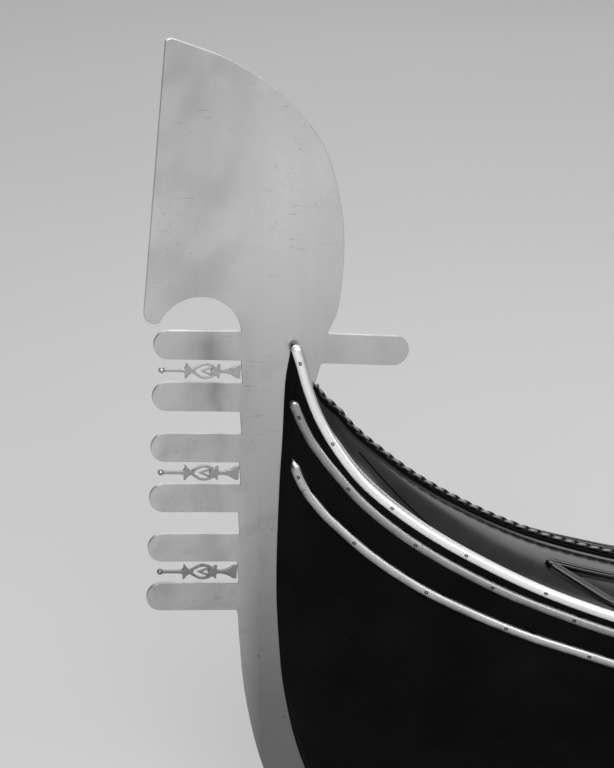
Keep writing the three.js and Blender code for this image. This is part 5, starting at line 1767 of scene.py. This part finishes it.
def cord_round(line, radius, beside):
    """The shell of a round cord along closed points. beside is a direction that the line never
    takes."""
    along = unit(np.roll(line, -1, 0) - np.roll(line, 1, 0))
    first = unit(np.cross(along, beside))
    second = np.cross(along, first)
    angle = round_angles(10)[None, :, None]
    out = first[:, None] * np.cos(angle) + second[:, None] * np.sin(angle)
    return skin(line[:, None] + radius * out, closed=True)


piping = woven_cloth("light_piping", (0.55, 0.53, 0.49, 1), (0.34, 0.32, 0.29, 1), 2600.0)
edge_line = lean_back(front_rings[1] + np.array([0, 0.001, 0]))
seam_points = lean_back(np.array([[0.0, -0.003, up] for up in np.linspace(*SEAM_UP, 60)]))
seam_loop = np.concatenate([seam_points, seam_points[::-1] + np.array([-0.004, 0, 0])])
shells = [cord_round(edge_line, 0.0045, ACROSS_BACK), cord_round(seam_loop, 0.0035, ACROSS_BACK)]
piece("back_piping", shells, piping, smooth_below=60)
shells = [cord_round(seam, 0.0036, UPRIGHT) for seam in seams]
piece("seat_cushion_piping", shells, piping, smooth_below=60)

# A crest of carved leaves caps the seat's back. They overlap like laurel, from the middle outwards.
LEAF_STEP = 0.0165
LEAF_LONG = 0.036
LEAF_HALF = 0.0082
LEAF_OUT = -0.030
crest_line = half_line[half_line[:, 1] > 0.50][::-1]
crest_at = lengths_along(crest_line)
share = np.linspace(0, 1, 12)
width = (LEAF_HALF * np.sin(math.pi * share ** 0.75) ** 0.9 + 0.0003)[:, None]
angle = round_angles(10)[None]
crest_shells = []
for place in np.arange(0.004, crest_at[-1] - 0.01, LEAF_STEP):
    here, beyond = interpolated(np.array([place, place + LEAF_STEP]), crest_at, crest_line)
    ahead = unit(beyond - here)
    outward = np.array([-ahead[1], ahead[0]])
    lift = 0.001 + 0.013 * share[:, None] ** 1.3
    spine = here + ahead * share[:, None] * LEAF_LONG + outward * lift
    flat = spine[:, None] + outward * (width * np.cos(angle))[..., None]
    out = LEAF_OUT + 1.9 * width * np.sin(angle)
    for mirrored in (1, -1):
        leaf = np.stack([mirrored * flat[..., 0], out, flat[..., 1]], -1)
        crest_shells.append(skin(lean_back(leaf)))
piece("back_crest", crest_shells, trim_wood, smooth_below=70)

# Low benches stand along both sides, each with a long quilted cushion.
BENCH_WIDTH = 0.250
BATTENS = 8
CUSHION_IN = 0.010
CUSHION_BACK = 0.008
LONG_QUILT = 0.085
ACROSS_POINTS = 44


def bench(side, node, name):
    """A bench against the shell, with upright battens on its front."""
    low, high = box_of(node)
    x = np.linspace(high[0] - 0.001, low[0] + 0.001, 30)
    wall_low, wall_high = (inner_y(side, x, z) - side * 0.0012 for z in (low[2], high[2]))
    front = inner_y(side, x, FLOOR_TOP) - side * BENCH_WIDTH
    corners = ((wall_low, low[2]), (wall_high, high[2]), (front, high[2]), (front, low[2]))
    shells = [long_board([(x, y, z) for y, z in corners], 0.006)]
    for place in np.linspace(x[0] - 0.10, x[-1] + 0.10, BATTENS):
        y = float(np.interp(place, x[::-1], front[::-1]))
        batten_low = (place - 0.012, y - 0.005, low[2] + 0.004)
        shells.append(skin(board(batten_low, (place + 0.012, y + 0.005, high[2] - 0.012), 0.003)))
    piece(name, shells, deck_paint, [node])


def long_cushion(side, node, name):
    """A quilted cushion with round edges, as rings across the bench. Gives its upper seam."""
    low, high = box_of(node)
    x = np.linspace(high[0] - 0.001, low[0] + 0.001, 260)
    wall_low, wall_high = (inner_y(side, x, z) - side * CUSHION_IN for z in (low[2], high[2]))
    front = inner_y(side, x, FLOOR_TOP) - side * (BENCH_WIDTH - CUSHION_BACK)
    across = np.linspace(0, 1, ACROSS_POINTS)
    top_y = wall_high[:, None] + (front - wall_high)[:, None] * across[None]
    bottom_y = wall_low[:, None] + (front - wall_low)[:, None] * across[::-1][None]
    ends = np.minimum(1, np.minimum(x[0] - x, x - x[-1]) / 0.03)[:, None]
    sides = np.minimum(1, np.minimum(across, 1 - across) / 0.12)[None]
    round_up = np.sqrt(np.clip(1 - (1 - ends) ** 2, 0, 1)) * np.sqrt(1 - (1 - sides) ** 2)
    thick = high[2] - low[2]
    quilting = quilted(x[:, None], top_y, LONG_QUILT) * smooth(ends * sides, 0.4, 1.0)
    top_z = low[2] + thick * (0.45 + 0.55 * round_up) + quilting * 0.9
    bottom_z = low[2] + thick * (0.30 - 0.30 * round_up[:, ::-1])
    top, bottom = (
        np.stack([np.repeat(x[:, None], ACROSS_POINTS, 1), y, z], -1)
        for y, z in ((top_y, top_z), (bottom_y, bottom_z))
    )
    shells = [skin(np.concatenate([top, bottom], 1))]
    cushion = piece(name, shells, leather, [node], smooth_below=80)
    return np.concatenate([top[:, -1], top[::-1, 0]]) - 0.003 * UPRIGHT


for side_name, side in SIDES:
    bench(side, f"side_bench_{side_name}", f"bench_{side_name}")
    seam = long_cushion(side, f"side_cushion_{side_name}", f"long_cushion_{side_name}")
    shells = [cord_round(seam, 0.0035, UPRIGHT)]
    piece(f"long_cushion_piping_{side_name}", shells, piping, smooth_below=60)

# The rower's footrest: five walnut slats on two wedges, sloping down to port.
SLATS = 5
SLAT_THICK = 0.012
FALL = 0.060 - 0.014
foot_low, foot_high = box_of("footrest")
width = (foot_high[1] - foot_low[1]) / SLATS
slope = -FALL / (foot_high[1] - foot_low[1])
slat_wood = wood("slat_wood", WALNUT_PALE, WALNUT_DARK, 0, 0.40)
shells = []
for number in range(SLATS):
    y = foot_low[1] + width * number
    rings = board((foot_low[0], y + 0.002, -SLAT_THICK), (foot_high[0], y + width - 0.002, 0.0), 0.003)
    rings[..., 2] += foot_high[2] + slope * (rings[..., 1] - foot_low[1])
    shells.append(skin(rings))
for x in (foot_low[0] + 0.02, foot_high[0] - 0.05):
    rings = board((x, foot_low[1] + 0.004, 0.0), (x + 0.03, foot_high[1] - 0.004, 1.0), 0.002)
    top = foot_high[2] - 0.011 + slope * (rings[..., 1] - foot_low[1])
    rings[..., 2] = foot_low[2] + rings[..., 2] * (top - foot_low[2])
    shells.append(skin(rings))
piece("footrest_slats", shells, slat_wood, ["footrest"])

# The small iron on the stern post curls over its head.
STERN_CURL = (
    # forward of the post's line, height over its head
    (12, -90), (-10, -16), (-30, 60), (-40, 118), (-38, 176), (-20, 246), (4, 290), (38, 314),
    (70, 306), (88, 278), (84, 250), (66, 237), (49, 241), (43, 256), (44, 270), (31, 262),
    (21, 228), (16, 190), (17, 140), (24, 90), (34, 40), (30, -30), (26, -90),
)
CURL_PLATE = 0.006
CURL_EDGE = 0.0012
rings = plate(along_points(STERN_CURL, 130) * MM, CURL_PLATE, CURL_EDGE)
rings += np.array([STERN_X, 0.0, STERN_HEAD])
piece("stern_curl", [skin(rings)], steel, ["stern_iron"], smooth_below=20)
